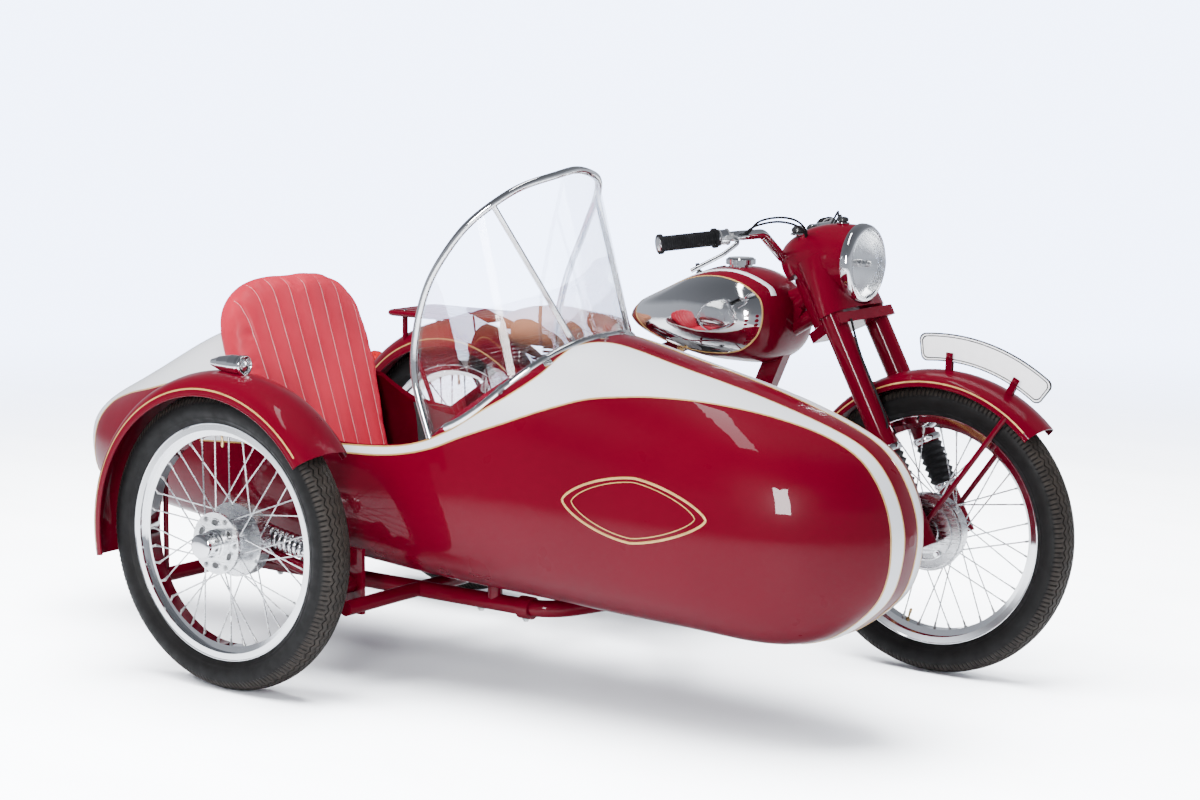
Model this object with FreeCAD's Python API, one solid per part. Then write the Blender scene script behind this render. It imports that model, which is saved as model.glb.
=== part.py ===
import FreeCAD, Part
import math
import os

# A motorcycle of the 350 class with a single-seat sidecar on its right.
# Millimetres. +X is forward, +Y is to the rider's left, +Z is up.
# All places below are measured from the floor under the rear axle, and the
# finished pieces are shifted once so that the origin is under the middle.

point = FreeCAD.Vector
forward = point(1, 0, 0)
leftward = point(0, 1, 0)
upward = point(0, 0, 1)

# Running gear
wheelbase = 1335.0
tyre_radius = 322.0
tyre_half_width = 43.0
tyre_section_shares = ((0.42, 1.0), (0.80, 0.80), (1.0, 0.38))
sidecar_lead = 208.0
sidecar_track = 1055.5
running_gap = 0.3
clear_gap = 6.0
overrun = 40.0

# Rims for a 19 inch bead
rim_bead_radius = 241.3
rim_flange_height = 12.7
rim_half_width = 29.8
rim_wall = 2.4
rim_well_depth = 13.0
rim_well_half_width = 10.0

# Hubs, axles and spokes
axle_radius = 8.5
hub_barrel_radius = 24.0
hub_drum_radius = 80.0
hub_small_flange_radius = 42.0
hub_flange_thickness = 7.0
hub_half_width = 41.0
hub_drum_width = 30.0
spoke_radius = 1.7
spoke_count = 18
spoke_sides = 6
spoke_cross_drum_angle = 32.0
spoke_cross_small_angle = 70.0
spoke_seat_depth = 5.0
brake_plate_radius = 87.0
brake_plate_thickness = 9.0
brake_plate_dome = 3.0
brake_plate_gap = 2.0

# Steering and fork
rake = 27.6
trail_offset = 60.0
leg_offset = 72.0
leg_spread = 90.0
leg_radius = 27.0
leg_top_z = 796.0
leg_bottom_z = 492.0
slider_radius = 21.0
slider_bottom_z = 300.0
gaiter_radius = 31.0
gaiter_length = 92.0
gaiter_fold_count = 6
gaiter_fold_depth = 6.0
head_tube_radius = 29.0
housing_swing_radius = 64.0
head_tube_low_z = 752.0
head_tube_high_z = 858.0
stem_radius = 13.0
yoke_thickness = 24.0
yoke_half_depth = 33.0
top_nut_radius = 30.0
axle_lug_radius = 17.0
axle_lug_width = 44.0
front_axle_reach = 128.0
axle_nut_radius = 14.0
axle_nut_width = 12.0

# Headlamp and its housing
lamp_height = 895.0
lamp_front_x = 1122.0
lamp_radius = 85.0
lamp_back_x = 930.0
lamp_rim_width = 22.0
lamp_rim_lip = 4.0
lens_bulge = 48.0
lens_thickness = 6.0
lens_ring_shares = (0.0, 0.35, 0.65, 0.88, 1.0)
housing_station_shares = (0.0, 0.10, 0.35, 0.65, 1.0)
housing_width_shares = (0.22, 0.48, 0.80, 0.98, 1.0)
housing_top_shares = (0.30, 0.52, 0.84, 1.0, 1.0)
housing_bottom_shares = (0.30, 0.60, 0.95, 1.05, 1.0)
housing_skirt_top_z = 876.0
housing_skirt_bottom_z = 752.0
housing_skirt_half_width = 122.0
housing_skirt_half_depth = 40.0
housing_skirt_top_depth = 58.0
skirt_square = 2.6
knob_radius = 9.0
knob_height = 13.0

# Handlebar: each place is forward of the steering axis, left of the middle,
# and above the floor
bar_radius = 11.0
bar_bend = 30.0
bar_root_ahead = -18.0
bar_root_out = 38.0
bar_root_z = 897.0
bar_rise_ahead = 6.0
bar_rise_out = 118.0
bar_rise_z = 958.0
bar_neck_ahead = -6.0
bar_neck_out = 205.0
bar_neck_z = 958.0
bar_end_ahead = -114.0
bar_end_out = 352.0
bar_end_z = 943.0
grip_radius = 16.5
grip_length = 128.0
grip_flange_radius = 22.0
grip_flange_width = 7.0
lever_perch_radius = 17.0
lever_perch_width = 22.0
lever_radius = 5.0
lever_drop = 58.0
lever_forward = 46.0
lever_length = 120.0

# Front mudguard, plate and stays
guard_wall = 2.0
guard_section_shares = ((0.0, 1.0), (0.32, 0.98), (0.66, 0.80), (0.90, 0.42), (1.0, 0.0))
guard_stay_inset_angle = 12.0
guard_bridge_z = 630.0
front_guard_radius = 353.0
front_guard_half_width = 60.0
front_guard_lip_radius = 322.0
front_guard_start_angle = 44.0
front_guard_end_angle = 168.0
stay_radius = 6.0
front_plate_length = 296.0
front_plate_height = 60.0
front_plate_thickness = 3.0
front_plate_radius = 372.0
front_plate_middle_angle = 75.0
plate_hole_radius = 3.0
plate_foot_spacing = 160.0
plate_foot_length = 22.0

# Frame of the motorcycle
frame_tube_radius = 15.0
down_tube_width = 34.0
down_tube_depth = 44.0
down_tube_top_x = 968.0
down_tube_top_z = 792.0
down_tube_foot_x = 736.0
down_tube_foot_z = 262.0
cradle_z = 190.0
cradle_half_width = 94.0
cradle_front_x = 712.0
cradle_rear_x = 380.0
seat_node_x = 372.0
seat_node_z = 600.0
backbone_radius = 19.0
plunger_spread = 105.0
plunger_radius = 29.0
plunger_top_z = 470.0
plunger_bottom_z = 196.0
plunger_cap_radius = 20.0
plunger_cap_height = 16.0
rear_axle_reach = 144.0
rear_stay_radius = 13.0
rear_stay_bend_x = 200.0

# Engine
crankcase_front_x = 706.0
crankcase_rear_x = 402.0
crankcase_half_width = 112.0
crankcase_bottom_z = 218.0
crankcase_corner = 46.0
crankcase_top_z = 405.0
crank_x = 604.0
crank_z = 312.0
crank_cover_radius = 90.0
gear_cover_radius = 70.0
gear_x = 474.0
cover_depth = 26.0
barrel_spread = 62.0
barrel_radius = 42.0
barrel_fin_radius = 59.0
barrel_height = 138.0
barrel_fin_count = 8
fin_thickness = 4.0
head_height = 52.0
head_fin_count = 4
head_dome_radius = 46.0
carburettor_radius = 24.0
carburettor_length = 74.0
pipe_radius = 19.0
pipe_bend = 62.0
pipe_spread = 178.0
pipe_low_z = 236.0
silencer_radius = 42.0
silencer_front_x = 268.0
silencer_length = 640.0
silencer_cone_length = 130.0
silencer_tail_length = 70.0

# Tank and saddle
tank_rear_x = 518.0
tank_front_x = 966.0
tank_half_width = 140.0
tank_top_z = 872.0
tank_bottom_z = 655.0
tank_middle_z = 765.0
tank_station_shares = (0.0, 0.04, 0.16, 0.38, 0.62, 0.82, 0.93, 0.98, 1.0)
tank_width_shares = (0.10, 0.24, 0.52, 0.84, 1.0, 0.97, 0.80, 0.58, 0.36)
tank_top_shares = (-0.20, 0.0, 0.28, 0.70, 0.98, 0.87, 0.62, 0.40, 0.15)
tank_bottom_shares = (0.30, 0.42, 0.62, 0.86, 1.0, 1.0, 0.86, 0.62, 0.30)
tank_square = 2.4
small_point_count = 16
tank_cap_x = 812.0
tank_cap_radius = 34.0
tank_cap_height = 20.0
tank_collar_height = 9.0
saddle_rear_x = 172.0
saddle_front_x = 486.0
saddle_half_width = 128.0
saddle_base_z = 648.0
saddle_top_z = 738.0
saddle_station_shares = (0.0, 0.08, 0.30, 0.60, 0.86, 1.0)
saddle_width_shares = (0.62, 0.88, 1.0, 0.74, 0.46, 0.34)
saddle_top_shares = (0.62, 0.86, 1.0, 0.86, 0.80, 0.62)
saddle_spring_radius = 20.0
saddle_spring_spread = 62.0
saddle_spring_fold_count = 5

# Rear mudguard, rack and tail
rear_guard_radius = 364.0
rear_guard_half_width = 82.0
rear_guard_lip_radius = 306.0
rear_guard_start_angle = 38.0
rear_guard_end_angle = 196.0
rear_stay_angle = 108.0
rack_front_x = 128.0
rack_rear_x = -178.0
rack_half_width = 92.0
rack_z = 700.0
rack_bar_radius = 7.0
rack_slat_count = 5
rack_slat_width = 14.0
rack_slat_height = 6.0
rack_post_radius = 7.0
rack_post_inset = 40.0
rack_post_spread = 66.0
rear_plate_width = 200.0
rear_plate_height = 140.0
rear_plate_thickness = 3.0
rear_plate_z = 452.0
rear_plate_gap = 8.0
rear_plate_hole_spacing_y = 120.0
rear_plate_hole_spacing_z = 80.0
tail_lamp_radius = 27.0
tail_lamp_length = 42.0
tail_lamp_z = 558.0
side_box_length = 150.0
side_box_low_z = 395.0
side_box_high_z = 575.0
side_box_depth = 46.0
side_box_corner = 16.0
side_box_inner_y = 76.0

# Controls by the feet and the stand
peg_x = 520.0
peg_radius = 14.0
peg_length = 92.0
peg_inner_y = 196.0
peg_bar_radius = 10.0
kick_lever_radius = 7.0
kick_lever_length = 165.0
kick_boss_radius = 13.0
kick_boss_length = 22.0
pedal_radius = 6.5
pedal_length = 178.0
stand_pivot_x = 430.0
stand_pivot_z = 152.0
stand_leg_radius = 11.0
stand_pin_radius = 7.0
stand_leg_length = 152.0
stand_half_width = 74.0
stand_foot_length = 50.0
stand_rest_drop = 8.0
stand_lug_radius = 15.0
stand_lug_width = 12.0

# Final drive on the left
chain_y = 62.0
chain_width = 9.0
chain_height = 11.0
sprocket_rear_radius = 88.0
sprocket_front_radius = 36.0

# Sidecar hull
hull_middle_y = -630.0
hull_middle_z = 430.0
hull_tail_x = -600.0
hull_nose_x = 1605.0
hull_half_width = 275.0
hull_top_rise = 350.0
hull_bottom_drop = 227.0
hull_wall = 6.0
hull_square_top = 2.35
hull_square_bottom = 3.0
hull_station_shares = (0.0005, 0.0045, 0.0117, 0.0244, 0.0731, 0.152, 0.249, 0.3437, 0.4565, 0.5106,
                       0.5462, 0.5692, 0.6008, 0.6369, 0.682, 0.7497, 0.8322, 0.8949, 0.936, 0.9711,
                       0.9896, 0.9977, 1.0)
hull_width_shares = (0.07, 0.20, 0.30, 0.40, 0.60, 0.81, 0.955, 1.0, 1.0, 1.0,
                     1.0, 1.0, 1.0, 1.0, 1.0, 0.985, 0.925, 0.825, 0.70, 0.515,
                     0.33, 0.155, 0.04)
hull_top_shares = (0.04, 0.11, 0.17, 0.242, 0.409, 0.657, 0.871, 0.68, 0.566, 0.623,
                   0.737, 0.891, 0.986, 1.0, 0.98, 0.889, 0.769, 0.657, 0.566, 0.431,
                   0.26, 0.11, 0.03)
hull_bottom_shares = (0.13, 0.35, 0.46, 0.52, 0.573, 0.626, 0.683, 0.74, 0.815, 0.855,
                      0.872, 0.881, 0.89, 0.90, 0.916, 0.943, 0.978, 1.0, 0.90, 0.66,
                      0.44, 0.17, 0.05)
hull_point_count = 16
nose_joint_x = 912.0
tail_joint_x = -84.0
cockpit_rear_x = -66.0
cockpit_rear_length = 216.0

# Windscreen: a curved sheet whose plan is half an oval, drawn out straight to
# the rear, that leans back from the cowl
screen_middle_x = 602.0
screen_length = 293.0
screen_half_width = 250.0
screen_base_z = 772.0
screen_lean = 0.279
screen_top_z = 1112.0
screen_glass_thickness = 4.0
hoop_radius = 8.0
hoop_foot_z = 560.0
hoop_height_shares = (0.0, 0.12, 0.25, 0.38, 0.50, 0.60, 0.70, 0.80, 0.88, 0.94, 0.985)
hoop_x_shares = (0.03, -0.055, -0.115, -0.10, -0.045, 0.03, 0.14, 0.27, 0.41, 0.53, 0.65)
brace_width = 14.0
brace_thickness = 4.0
brace_top_share = 0.88
brace_foot_angle = 23.0
cowl_strip_steps = 12
cowl_pass_count = 5

# Sidecar upholstery
seat_back_width = 464.0
seat_back_height = 566.0
seat_back_thickness = 84.0
seat_back_lean_angle = 19.0
seat_crown_shares = ((1.0, 0.57), (0.985, 0.74), (0.88, 0.88), (0.55, 0.978), (0.0, 1.0))
seat_foot_share = 0.78
seat_back_foot_x = 183.0
seat_back_foot_z = 330.0
seat_edge_round = 36.0
seat_cushion_front_x = 560.0
seat_cushion_half_width = 212.0
seat_cushion_top_z = 422.0
seat_cushion_height = 108.0
seat_cushion_round = 26.0
seat_base_height = 60.0
soft_gap = 2.0

# Sidecar mudguard and marker lamp
side_guard_radius = 363.0
side_guard_half_width = 76.0
side_guard_lip_radius = 318.0
side_guard_start_angle = 37.0
side_guard_end_angle = 191.0
marker_length = 100.0
marker_radius = 21.0
marker_profile_shares = ((0.0, 0.0), (0.80, 0.05), (1.0, 0.14), (1.0, 0.34), (0.72, 0.70), (0.35, 0.94),
                         (0.0, 1.0))

# Sidecar chassis, wheel arm and the struts to the motorcycle
chassis_radius = 18.0
inner_tube_radius = 17.0
cross_tube_radius = 16.0
chassis_z = 198.0
chassis_outer_y = -742.0
chassis_inner_y = -470.0
chassis_front_x = 820.0
chassis_rear_x = -120.0
chassis_bend = 95.0
clamp_radius = 24.0
clamp_width = 30.0
side_bracket_x = 440.0
side_bracket_y = -925.0
side_bracket_length = 66.0
side_bracket_drop = 22.0
side_bracket_height = 118.0
side_bracket_thickness = 10.0
arm_radius = 14.0
arm_pivot_z = 238.0
arm_drop = 36.0
side_cap_radius = 25.0
side_cap_length = 34.0
guard_post_inset = 60.0
guard_post_front_x = 470.0
spring_wire_radius = 4.6
spring_radius = 24.0
spring_turn_count = 11
strut_radius = 13.0
strut_offset = 72.0
front_strut_x = 690.0
rear_strut_x = 310.0
front_strut_share = 0.50
rear_strut_share = 0.70
body_mount_radius = 16.0

steer_run = math.tan(math.radians(rake))
steer_cos = math.cos(math.radians(rake))
steer_up = point(-math.sin(math.radians(rake)), 0, steer_cos)
steer_ahead = point(steer_cos, 0, math.sin(math.radians(rake)))
front_axle = point(wheelbase, 0, tyre_radius)
rear_axle = point(0, 0, tyre_radius)
side_axle = point(sidecar_lead, -sidecar_track, tyre_radius)
hull_length = hull_nose_x - hull_tail_x
origin_shift = point(-(hull_tail_x + wheelbase + tyre_radius) / 2,
                     (sidecar_track + side_guard_half_width - bar_end_out) / 2, 0)


def save(node, shape):
    """Write one piece, shifted so that the origin is under the middle."""
    placed = shape.copy()
    placed.translate(origin_shift)
    placed.exportStep("parts/" + node + ".step")


def joined(shapes):
    whole = shapes[0].fuse(list(shapes[1:]))
    return whole.removeSplitter()


def box(low, high):
    size = high - low
    return Part.makeBox(size.x, size.y, size.z, low)


def rod(start, end, radius):
    return Part.makeCylinder(radius, (end - start).Length, start, end - start)


def biggest(shape):
    return max(shape.Solids, key=lambda solid: solid.Volume)


def bar_between(start, end, width, depth, side):
    """A straight bar of rectangular section whose width lies along side."""
    along = end - start
    across = point(side).normalize()
    up = along.cross(across).normalize()
    corners = [start + across * (sx * width / 2) + up * (sz * depth / 2)
               for sx, sz in ((-1, -1), (1, -1), (1, 1), (-1, 1), (-1, -1))]
    return Part.Face(Part.makePolygon(corners)).extrude(along)


def bent_path(points, bend):
    """Straight runs joined by arcs that touch both runs."""
    edges = []
    last = points[0]
    for before, corner, after in zip(points, points[1:], points[2:]):
        inward = (before - corner).normalize()
        outward = (after - corner).normalize()
        half = inward.getAngle(outward) / 2
        room = 0.48 * min((before - corner).Length, (after - corner).Length)
        reach = min(bend / math.tan(half), room)
        radius = reach * math.tan(half)
        start = corner + inward * reach
        end = corner + outward * reach
        centre = corner + (inward + outward).normalize() * (radius / math.sin(half))
        middle = centre + (corner - centre).normalize() * radius
        edges.append(Part.LineSegment(last, start).toShape())
        edges.append(Part.Arc(start, middle, end).toShape())
        last = end
    edges.append(Part.LineSegment(last, points[-1]).toShape())
    return Part.Wire(edges)


def tube(points, radius, bend):
    """A round bar that follows a bent path."""
    path = bent_path(points, bend)
    circle = Part.Wire(Part.makeCircle(radius, points[0], points[1] - points[0]))
    return path.makePipeShell([circle], True, False)


def turned(profile, base, axis):
    """A solid of revolution; the profile gives radius and place along the axis."""
    corners = [point(r, 0, s) for r, s in profile]
    corners.append(corners[0])
    solid = Part.Face(Part.makePolygon(corners)).revolve(point(), upward, 360)
    solid.Placement = FreeCAD.Placement(base, FreeCAD.Rotation(upward, axis))
    return solid


def ring_profile(profile, centre, angle):
    """Points of a profile of radius and offset along Y, at an angle about Y."""
    across = point(math.cos(math.radians(angle)), 0, math.sin(math.radians(angle)))
    return [centre + across * r + leftward * s for r, s in profile]


def closed_curve(points):
    curve = Part.BSplineCurve()
    curve.interpolate(points, PeriodicFlag=True)
    return Part.Wire(curve.toShape())


def open_curve(points):
    curve = Part.BSplineCurve()
    curve.interpolate(points)
    return curve.toShape()


def swept(points, radius):
    """A round bar along a smooth curve."""
    edge = open_curve(points)
    direction = edge.tangentAt(edge.FirstParameter)
    circle = Part.Wire(Part.makeCircle(radius, points[0], direction))
    return Part.Wire([edge]).makePipeShell([circle], True, False)


def squircle(angle, power):
    """A point on a unit oval between a circle and a square."""
    c = math.cos(angle)
    s = math.sin(angle)
    return (math.copysign(abs(c) ** (2 / power), c), math.copysign(abs(s) ** (2 / power), s))


def oval_section(middle, half_width, rise, drop, top_power, bottom_power, count):
    """A closed curve across the X axis, with its own top and bottom."""
    points = []
    for i in range(count):
        angle = 2 * math.pi * (i + 0.5) / count
        power = top_power if math.sin(angle) > 0 else bottom_power
        y, z = squircle(angle, power)
        points.append(middle + leftward * (y * half_width) + upward * (z * (rise if z > 0 else drop)))
    return closed_curve(points)


def steer_point(z):
    """The place on the steering axis at a height."""
    foot_x = wheelbase - trail_offset / steer_cos
    return point(foot_x - (z - tyre_radius) * steer_run, 0, z)


def leg_point(z, side):
    """The place on a fork leg's axis at a height."""
    base = steer_point(z) + forward * (leg_offset / steer_cos)
    return base + leftward * (side * leg_spread)


# Wheels

def tyre(centre):
    """A tyre seated on its rim, with flat walls, shoulders and crown."""
    bead = rim_half_width - rim_wall - running_gap
    seat = rim_bead_radius + running_gap
    flange = rim_bead_radius + rim_flange_height
    height = tyre_radius - flange
    left = [(seat, bead), (flange, bead)]
    left += [(flange + height * h, tyre_half_width * w) for h, w in tyre_section_shares]
    right = [(r, -w) for r, w in reversed(left)]
    corners = ring_profile(left + right + left[:1], centre, 0)
    return Part.Face(Part.makePolygon(corners)).revolve(centre, -leftward, 360)


def rim(centre):
    flange = rim_bead_radius + rim_flange_height
    well = rim_bead_radius - rim_well_depth
    inner = rim_half_width - rim_wall
    half = [(well, rim_well_half_width), (rim_bead_radius, rim_well_half_width + rim_wall),
            (rim_bead_radius, inner), (flange, inner), (flange, rim_half_width),
            (rim_bead_radius - rim_wall, rim_half_width),
            (rim_bead_radius - rim_wall, rim_well_half_width + rim_wall * 2),
            (well - rim_wall, rim_well_half_width + rim_wall)]
    other = [(r, -s) for r, s in reversed(half)]
    corners = ring_profile(half + other + [half[0]], centre, 0)
    return Part.Face(Part.makePolygon(corners)).revolve(centre, -leftward, 360)


def spoke(centre, hub_radius, hub_offset, hub_angle, rim_angle):
    rim_radius = rim_bead_radius - rim_well_depth
    start = ring_profile([(hub_radius, hub_offset)], centre, hub_angle)[0]
    end = ring_profile([(rim_radius, 0)], centre, rim_angle)[0]
    along = end - start
    side = along.cross(leftward).normalize()
    other = along.cross(side).normalize()
    corners = []
    for i in range(spoke_sides + 1):
        turn = 2 * math.pi * i / spoke_sides
        corners.append(start + side * (spoke_radius * math.cos(turn))
                       + other * (spoke_radius * math.sin(turn)))
    return Part.Face(Part.makePolygon(corners)).extrude(along)


def hub(centre, drum_side):
    """Hub shell with its drum on one side, its spokes and the bore for the axle."""
    bore = axle_radius + running_gap
    small = drum_side * -hub_half_width
    drum = drum_side * hub_half_width
    drum_in = drum - drum_side * hub_drum_width
    small_in = small + drum_side * hub_flange_thickness
    floor = drum - drum_side * hub_flange_thickness
    shell = ring_profile([
        (bore, small), (hub_small_flange_radius, small), (hub_small_flange_radius, small_in),
        (hub_barrel_radius, small_in), (hub_barrel_radius, 0), (hub_drum_radius, drum_in),
        (hub_drum_radius, drum), (hub_drum_radius - hub_flange_thickness, drum),
        (hub_drum_radius - hub_flange_thickness, floor), (bore, floor), (bore, small)], centre, 0)
    body = Part.Face(Part.makePolygon(shell)).revolve(centre, -leftward, 360)
    spokes = []
    for i in range(spoke_count):
        step = 360 * i / spoke_count
        swing = 1 if i % 2 else -1
        spokes.append(spoke(centre, hub_drum_radius - spoke_seat_depth, drum_in,
                            step + swing * spoke_cross_drum_angle, step))
        small_step = step + 180 / spoke_count
        spokes.append(spoke(centre, hub_small_flange_radius - spoke_seat_depth, small_in,
                            small_step + swing * spoke_cross_small_angle, small_step))
    return body.fuse(spokes)


def wheel(name, centre, drum_side):
    rim_ring = rim(centre)
    save(name + "_tyre", tyre(centre))
    save(name + "_rim", rim_ring)
    save(name + "_hub", hub(centre, drum_side).cut(rim_ring))


# Fork and steering

def yoke_plate(middle, reach, spread):
    """A flat plate that runs from behind the stem out to both legs."""
    outline_shares = ((-1, -1, 0), (1, -1, -1), (1, 1, 1), (-1, 1, 0))
    low = middle - steer_up * (yoke_thickness / 2)
    corners = []
    for ahead, out, leg in outline_shares:
        along = yoke_half_depth * ahead + (reach if ahead > 0 else 0)
        corners.append(low + steer_ahead * along + leftward * (out * yoke_half_depth + leg * spread))
    corners.append(corners[0])
    return Part.Face(Part.makePolygon(corners)).extrude(steer_up * yoke_thickness)


def steering_stem():
    step = clear_gap + yoke_thickness
    return rod(steer_point(head_tube_low_z) - steer_up * step,
               steer_point(head_tube_high_z) + steer_up * step, stem_radius)


def fork_yokes():
    """The lower yoke, the stem through the head tube, and the top nut."""
    low = steer_point(head_tube_low_z) - steer_up * (clear_gap + yoke_thickness / 2)
    nut_start = steer_point(head_tube_high_z) + steer_up * clear_gap
    nut = rod(nut_start, nut_start + steer_up * yoke_thickness, top_nut_radius)
    yokes = joined([yoke_plate(low, leg_offset, leg_spread), steering_stem(), nut])
    legs = [rod(leg_point(leg_bottom_z, side), leg_point(leg_top_z, side), leg_radius) for side in (-1, 1)]
    return yokes.cut(Part.makeCompound(legs))


def fork_legs():
    """Upper tubes and the sliders that end in the axle lugs."""
    legs = []
    for side in (-1, 1):
        top = leg_point(leg_top_z, side)
        shoulder = leg_point(leg_bottom_z, side)
        foot = leg_point(slider_bottom_z, side)
        lug = front_axle + leftward * (side * (leg_spread - axle_lug_width / 2))
        lug_end = lug + leftward * (side * axle_lug_width)
        leg = joined([rod(top, shoulder, leg_radius), rod(shoulder + steer_up * overrun, foot, slider_radius),
                      rod(lug, lug_end, axle_lug_radius)])
        bore_end = front_axle + leftward * (side * (leg_spread + overrun))
        legs.append(leg.cut(rod(front_axle, bore_end, axle_radius)))
    return Part.makeCompound(legs)


def fork_gaiters():
    """Folded sleeves between the upper tubes and the sliders."""
    sleeves = []
    fold = gaiter_length / (2 * gaiter_fold_count)
    neck = gaiter_radius - gaiter_fold_depth
    for side in (-1, 1):
        base = leg_point(leg_bottom_z, side) - steer_up * gaiter_length
        profile = [(slider_radius, 0)]
        for i in range(gaiter_fold_count):
            profile.append((neck, fold * 2 * i))
            profile.append((gaiter_radius, fold * (2 * i + 1)))
        profile += [(neck, gaiter_length), (slider_radius, gaiter_length)]
        sleeves.append(turned(profile, base, steer_up))
    return Part.makeCompound(sleeves)


def front_axle_bolt():
    """The spindle, with its nuts outside the lugs."""
    reach = leftward * front_axle_reach
    parts = [rod(front_axle - reach, front_axle + reach, axle_radius)]
    for side in (-1, 1):
        seat = front_axle + leftward * (side * (leg_spread + axle_lug_width / 2))
        parts.append(rod(seat, seat + leftward * (side * axle_nut_width), axle_nut_radius))
    return joined(parts)


def brake_plate(centre, side):
    """A domed plate that closes the drum and stays with the fork."""
    face = hub_half_width + brake_plate_gap
    rise = brake_plate_thickness + brake_plate_dome
    profile = [(axle_radius, 0), (brake_plate_radius, 0), (brake_plate_radius, brake_plate_thickness),
               (hub_barrel_radius * 2, rise), (axle_radius, rise)]
    return turned(profile, centre + leftward * (side * face), leftward * side)


def housing_body():
    """The big lamp housing, drawn out from the lens back to the handlebar."""
    length = lamp_front_x - lamp_back_x
    sections = []
    for s, w, t, b in zip(housing_station_shares, housing_width_shares,
                          housing_top_shares, housing_bottom_shares):
        middle = point(lamp_back_x + s * length, 0, lamp_height)
        sections.append(oval_section(middle, w * lamp_radius, t * lamp_radius, b * lamp_radius,
                                     2, 2, small_point_count))
    return Part.makeLoft(sections, True, False)


def skirt_section(z, half_width, half_depth):
    middle = steer_point(z) + steer_ahead * leg_offset
    points = []
    for i in range(small_point_count):
        a, s = squircle(2 * math.pi * (i + 0.5) / small_point_count, skirt_square)
        points.append(middle + steer_ahead * (a * half_depth) + leftward * (s * half_width))
    return closed_curve(points)


def headlamp_shell(yokes):
    """The housing with the skirt that hides the upper fork."""
    low = skirt_section(housing_skirt_bottom_z, housing_skirt_half_width, housing_skirt_half_depth)
    high = skirt_section(housing_skirt_top_z, lamp_radius, housing_skirt_top_depth)
    skirt = Part.makeLoft([low, high], True, False)
    legs = [rod(leg_point(leg_bottom_z, side), leg_point(leg_top_z, side), leg_radius) for side in (-1, 1)]
    below = steer_point(head_tube_low_z) - steer_up * (yoke_thickness * 2)
    neck = rod(below, steer_point(head_tube_high_z) + steer_up * clear_gap, housing_swing_radius)
    face = point(lamp_front_x, 0, lamp_height)
    front = rod(face, face + forward * lamp_radius, lamp_radius + lamp_rim_lip + running_gap)
    tools = legs + [neck, front, yokes]
    knob_place = point(lamp_front_x - lamp_rim_width * 2, 0, lamp_height + lamp_radius * 0.97)
    knob = rod(knob_place, knob_place + upward * knob_height, knob_radius)
    whole = housing_body().fuse([skirt, knob]).cut(tools)
    return biggest(whole)


def headlamp_rim():
    profile = [(lamp_radius - lamp_rim_lip * 2, 0), (lamp_radius + lamp_rim_lip, 0),
               (lamp_radius + lamp_rim_lip, lamp_rim_width * 0.6),
               (lamp_radius, lamp_rim_width), (lamp_radius - lamp_rim_lip * 2, lamp_rim_width)]
    return turned(profile, point(lamp_front_x, 0, lamp_height), forward)


def headlamp_lens():
    radius = lamp_radius - lamp_rim_lip * 2
    corners = [(0, 0)]
    for share in lens_ring_shares:
        corners.append((radius * share, lens_bulge * math.sqrt(1 - share * share) + lens_thickness))
    corners.append((radius, 0))
    return turned(corners, point(lamp_front_x, 0, lamp_height), forward)


def bar_places(side):
    """The bar's bends from the root at the housing out to the end of the grip."""
    places = ((bar_root_ahead, bar_root_out, bar_root_z), (bar_rise_ahead, bar_rise_out, bar_rise_z),
              (bar_neck_ahead, bar_neck_out, bar_neck_z), (bar_end_ahead, bar_end_out, bar_end_z))
    return [steer_point(z) + forward * ahead + leftward * (side * out) for ahead, out, z in places]


def handlebar(shell):
    """One bar, bent up out of the housing and back to the grips."""
    points = list(reversed(bar_places(-1))) + bar_places(1)
    bar = tube(points, bar_radius, bar_bend)
    return bar.cut(shell)


def grip_axis(side):
    places = bar_places(side)
    return places[-1], (places[-2] - places[-1]).normalize()


def grips():
    sleeves = []
    for side in (-1, 1):
        start, along = grip_axis(side)
        profile = [(0, -grip_flange_width), (grip_flange_radius, -grip_flange_width), (grip_flange_radius, 0),
                   (grip_radius, 0), (grip_radius, grip_length - grip_flange_width),
                   (grip_flange_radius, grip_length - grip_flange_width), (grip_flange_radius, grip_length),
                   (bar_radius, grip_length), (bar_radius, 0), (0, 0)]
        sleeves.append(turned(profile, start, along))
    return Part.makeCompound(sleeves)


def levers():
    """A clamp on the bar and the long curved lever ahead of each grip."""
    pieces = []
    for side in (-1, 1):
        start, along = grip_axis(side)
        clamp_start = start + along * (grip_length + clear_gap)
        clamp = rod(clamp_start, clamp_start + along * lever_perch_width, lever_perch_radius)
        root = clamp_start + along * (lever_perch_width / 2) + forward * lever_perch_radius * 0.8
        hip = root + forward * (lever_forward * 0.7) - upward * (lever_drop * 0.1)
        knee = root + forward * lever_forward - along * (lever_length * 0.45) - upward * (lever_drop * 0.5)
        tip = root + forward * (lever_forward * 0.8) - along * lever_length - upward * lever_drop
        blade = tube([root, hip, knee, tip], lever_radius, lever_forward)
        piece = joined([clamp, blade])
        pieces.append(piece.cut(rod(start, clamp_start + along * overrun, bar_radius)))
    return Part.makeCompound(pieces)


# Mudguards

def guard_shell(centre, crown, half_width, lip, start, end):
    """A rolled guard: a shell of even wall turned about the wheel's axis."""
    def profile(offset):
        rise = crown - offset - lip
        side = [(lip + rise * d, (half_width - offset) * w) for d, w in guard_section_shares]
        return side + [(r, -w) for r, w in reversed(side[:-1])]
    outer = ring_profile(profile(0), centre, start)
    inner = ring_profile(profile(guard_wall), centre, start)
    wire = Part.Wire([open_curve(outer), Part.makeLine(outer[-1], inner[-1]),
                      open_curve(list(reversed(inner))), Part.makeLine(inner[0], outer[0])])
    return Part.Face(wire).revolve(centre, -leftward, end - start)


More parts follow.
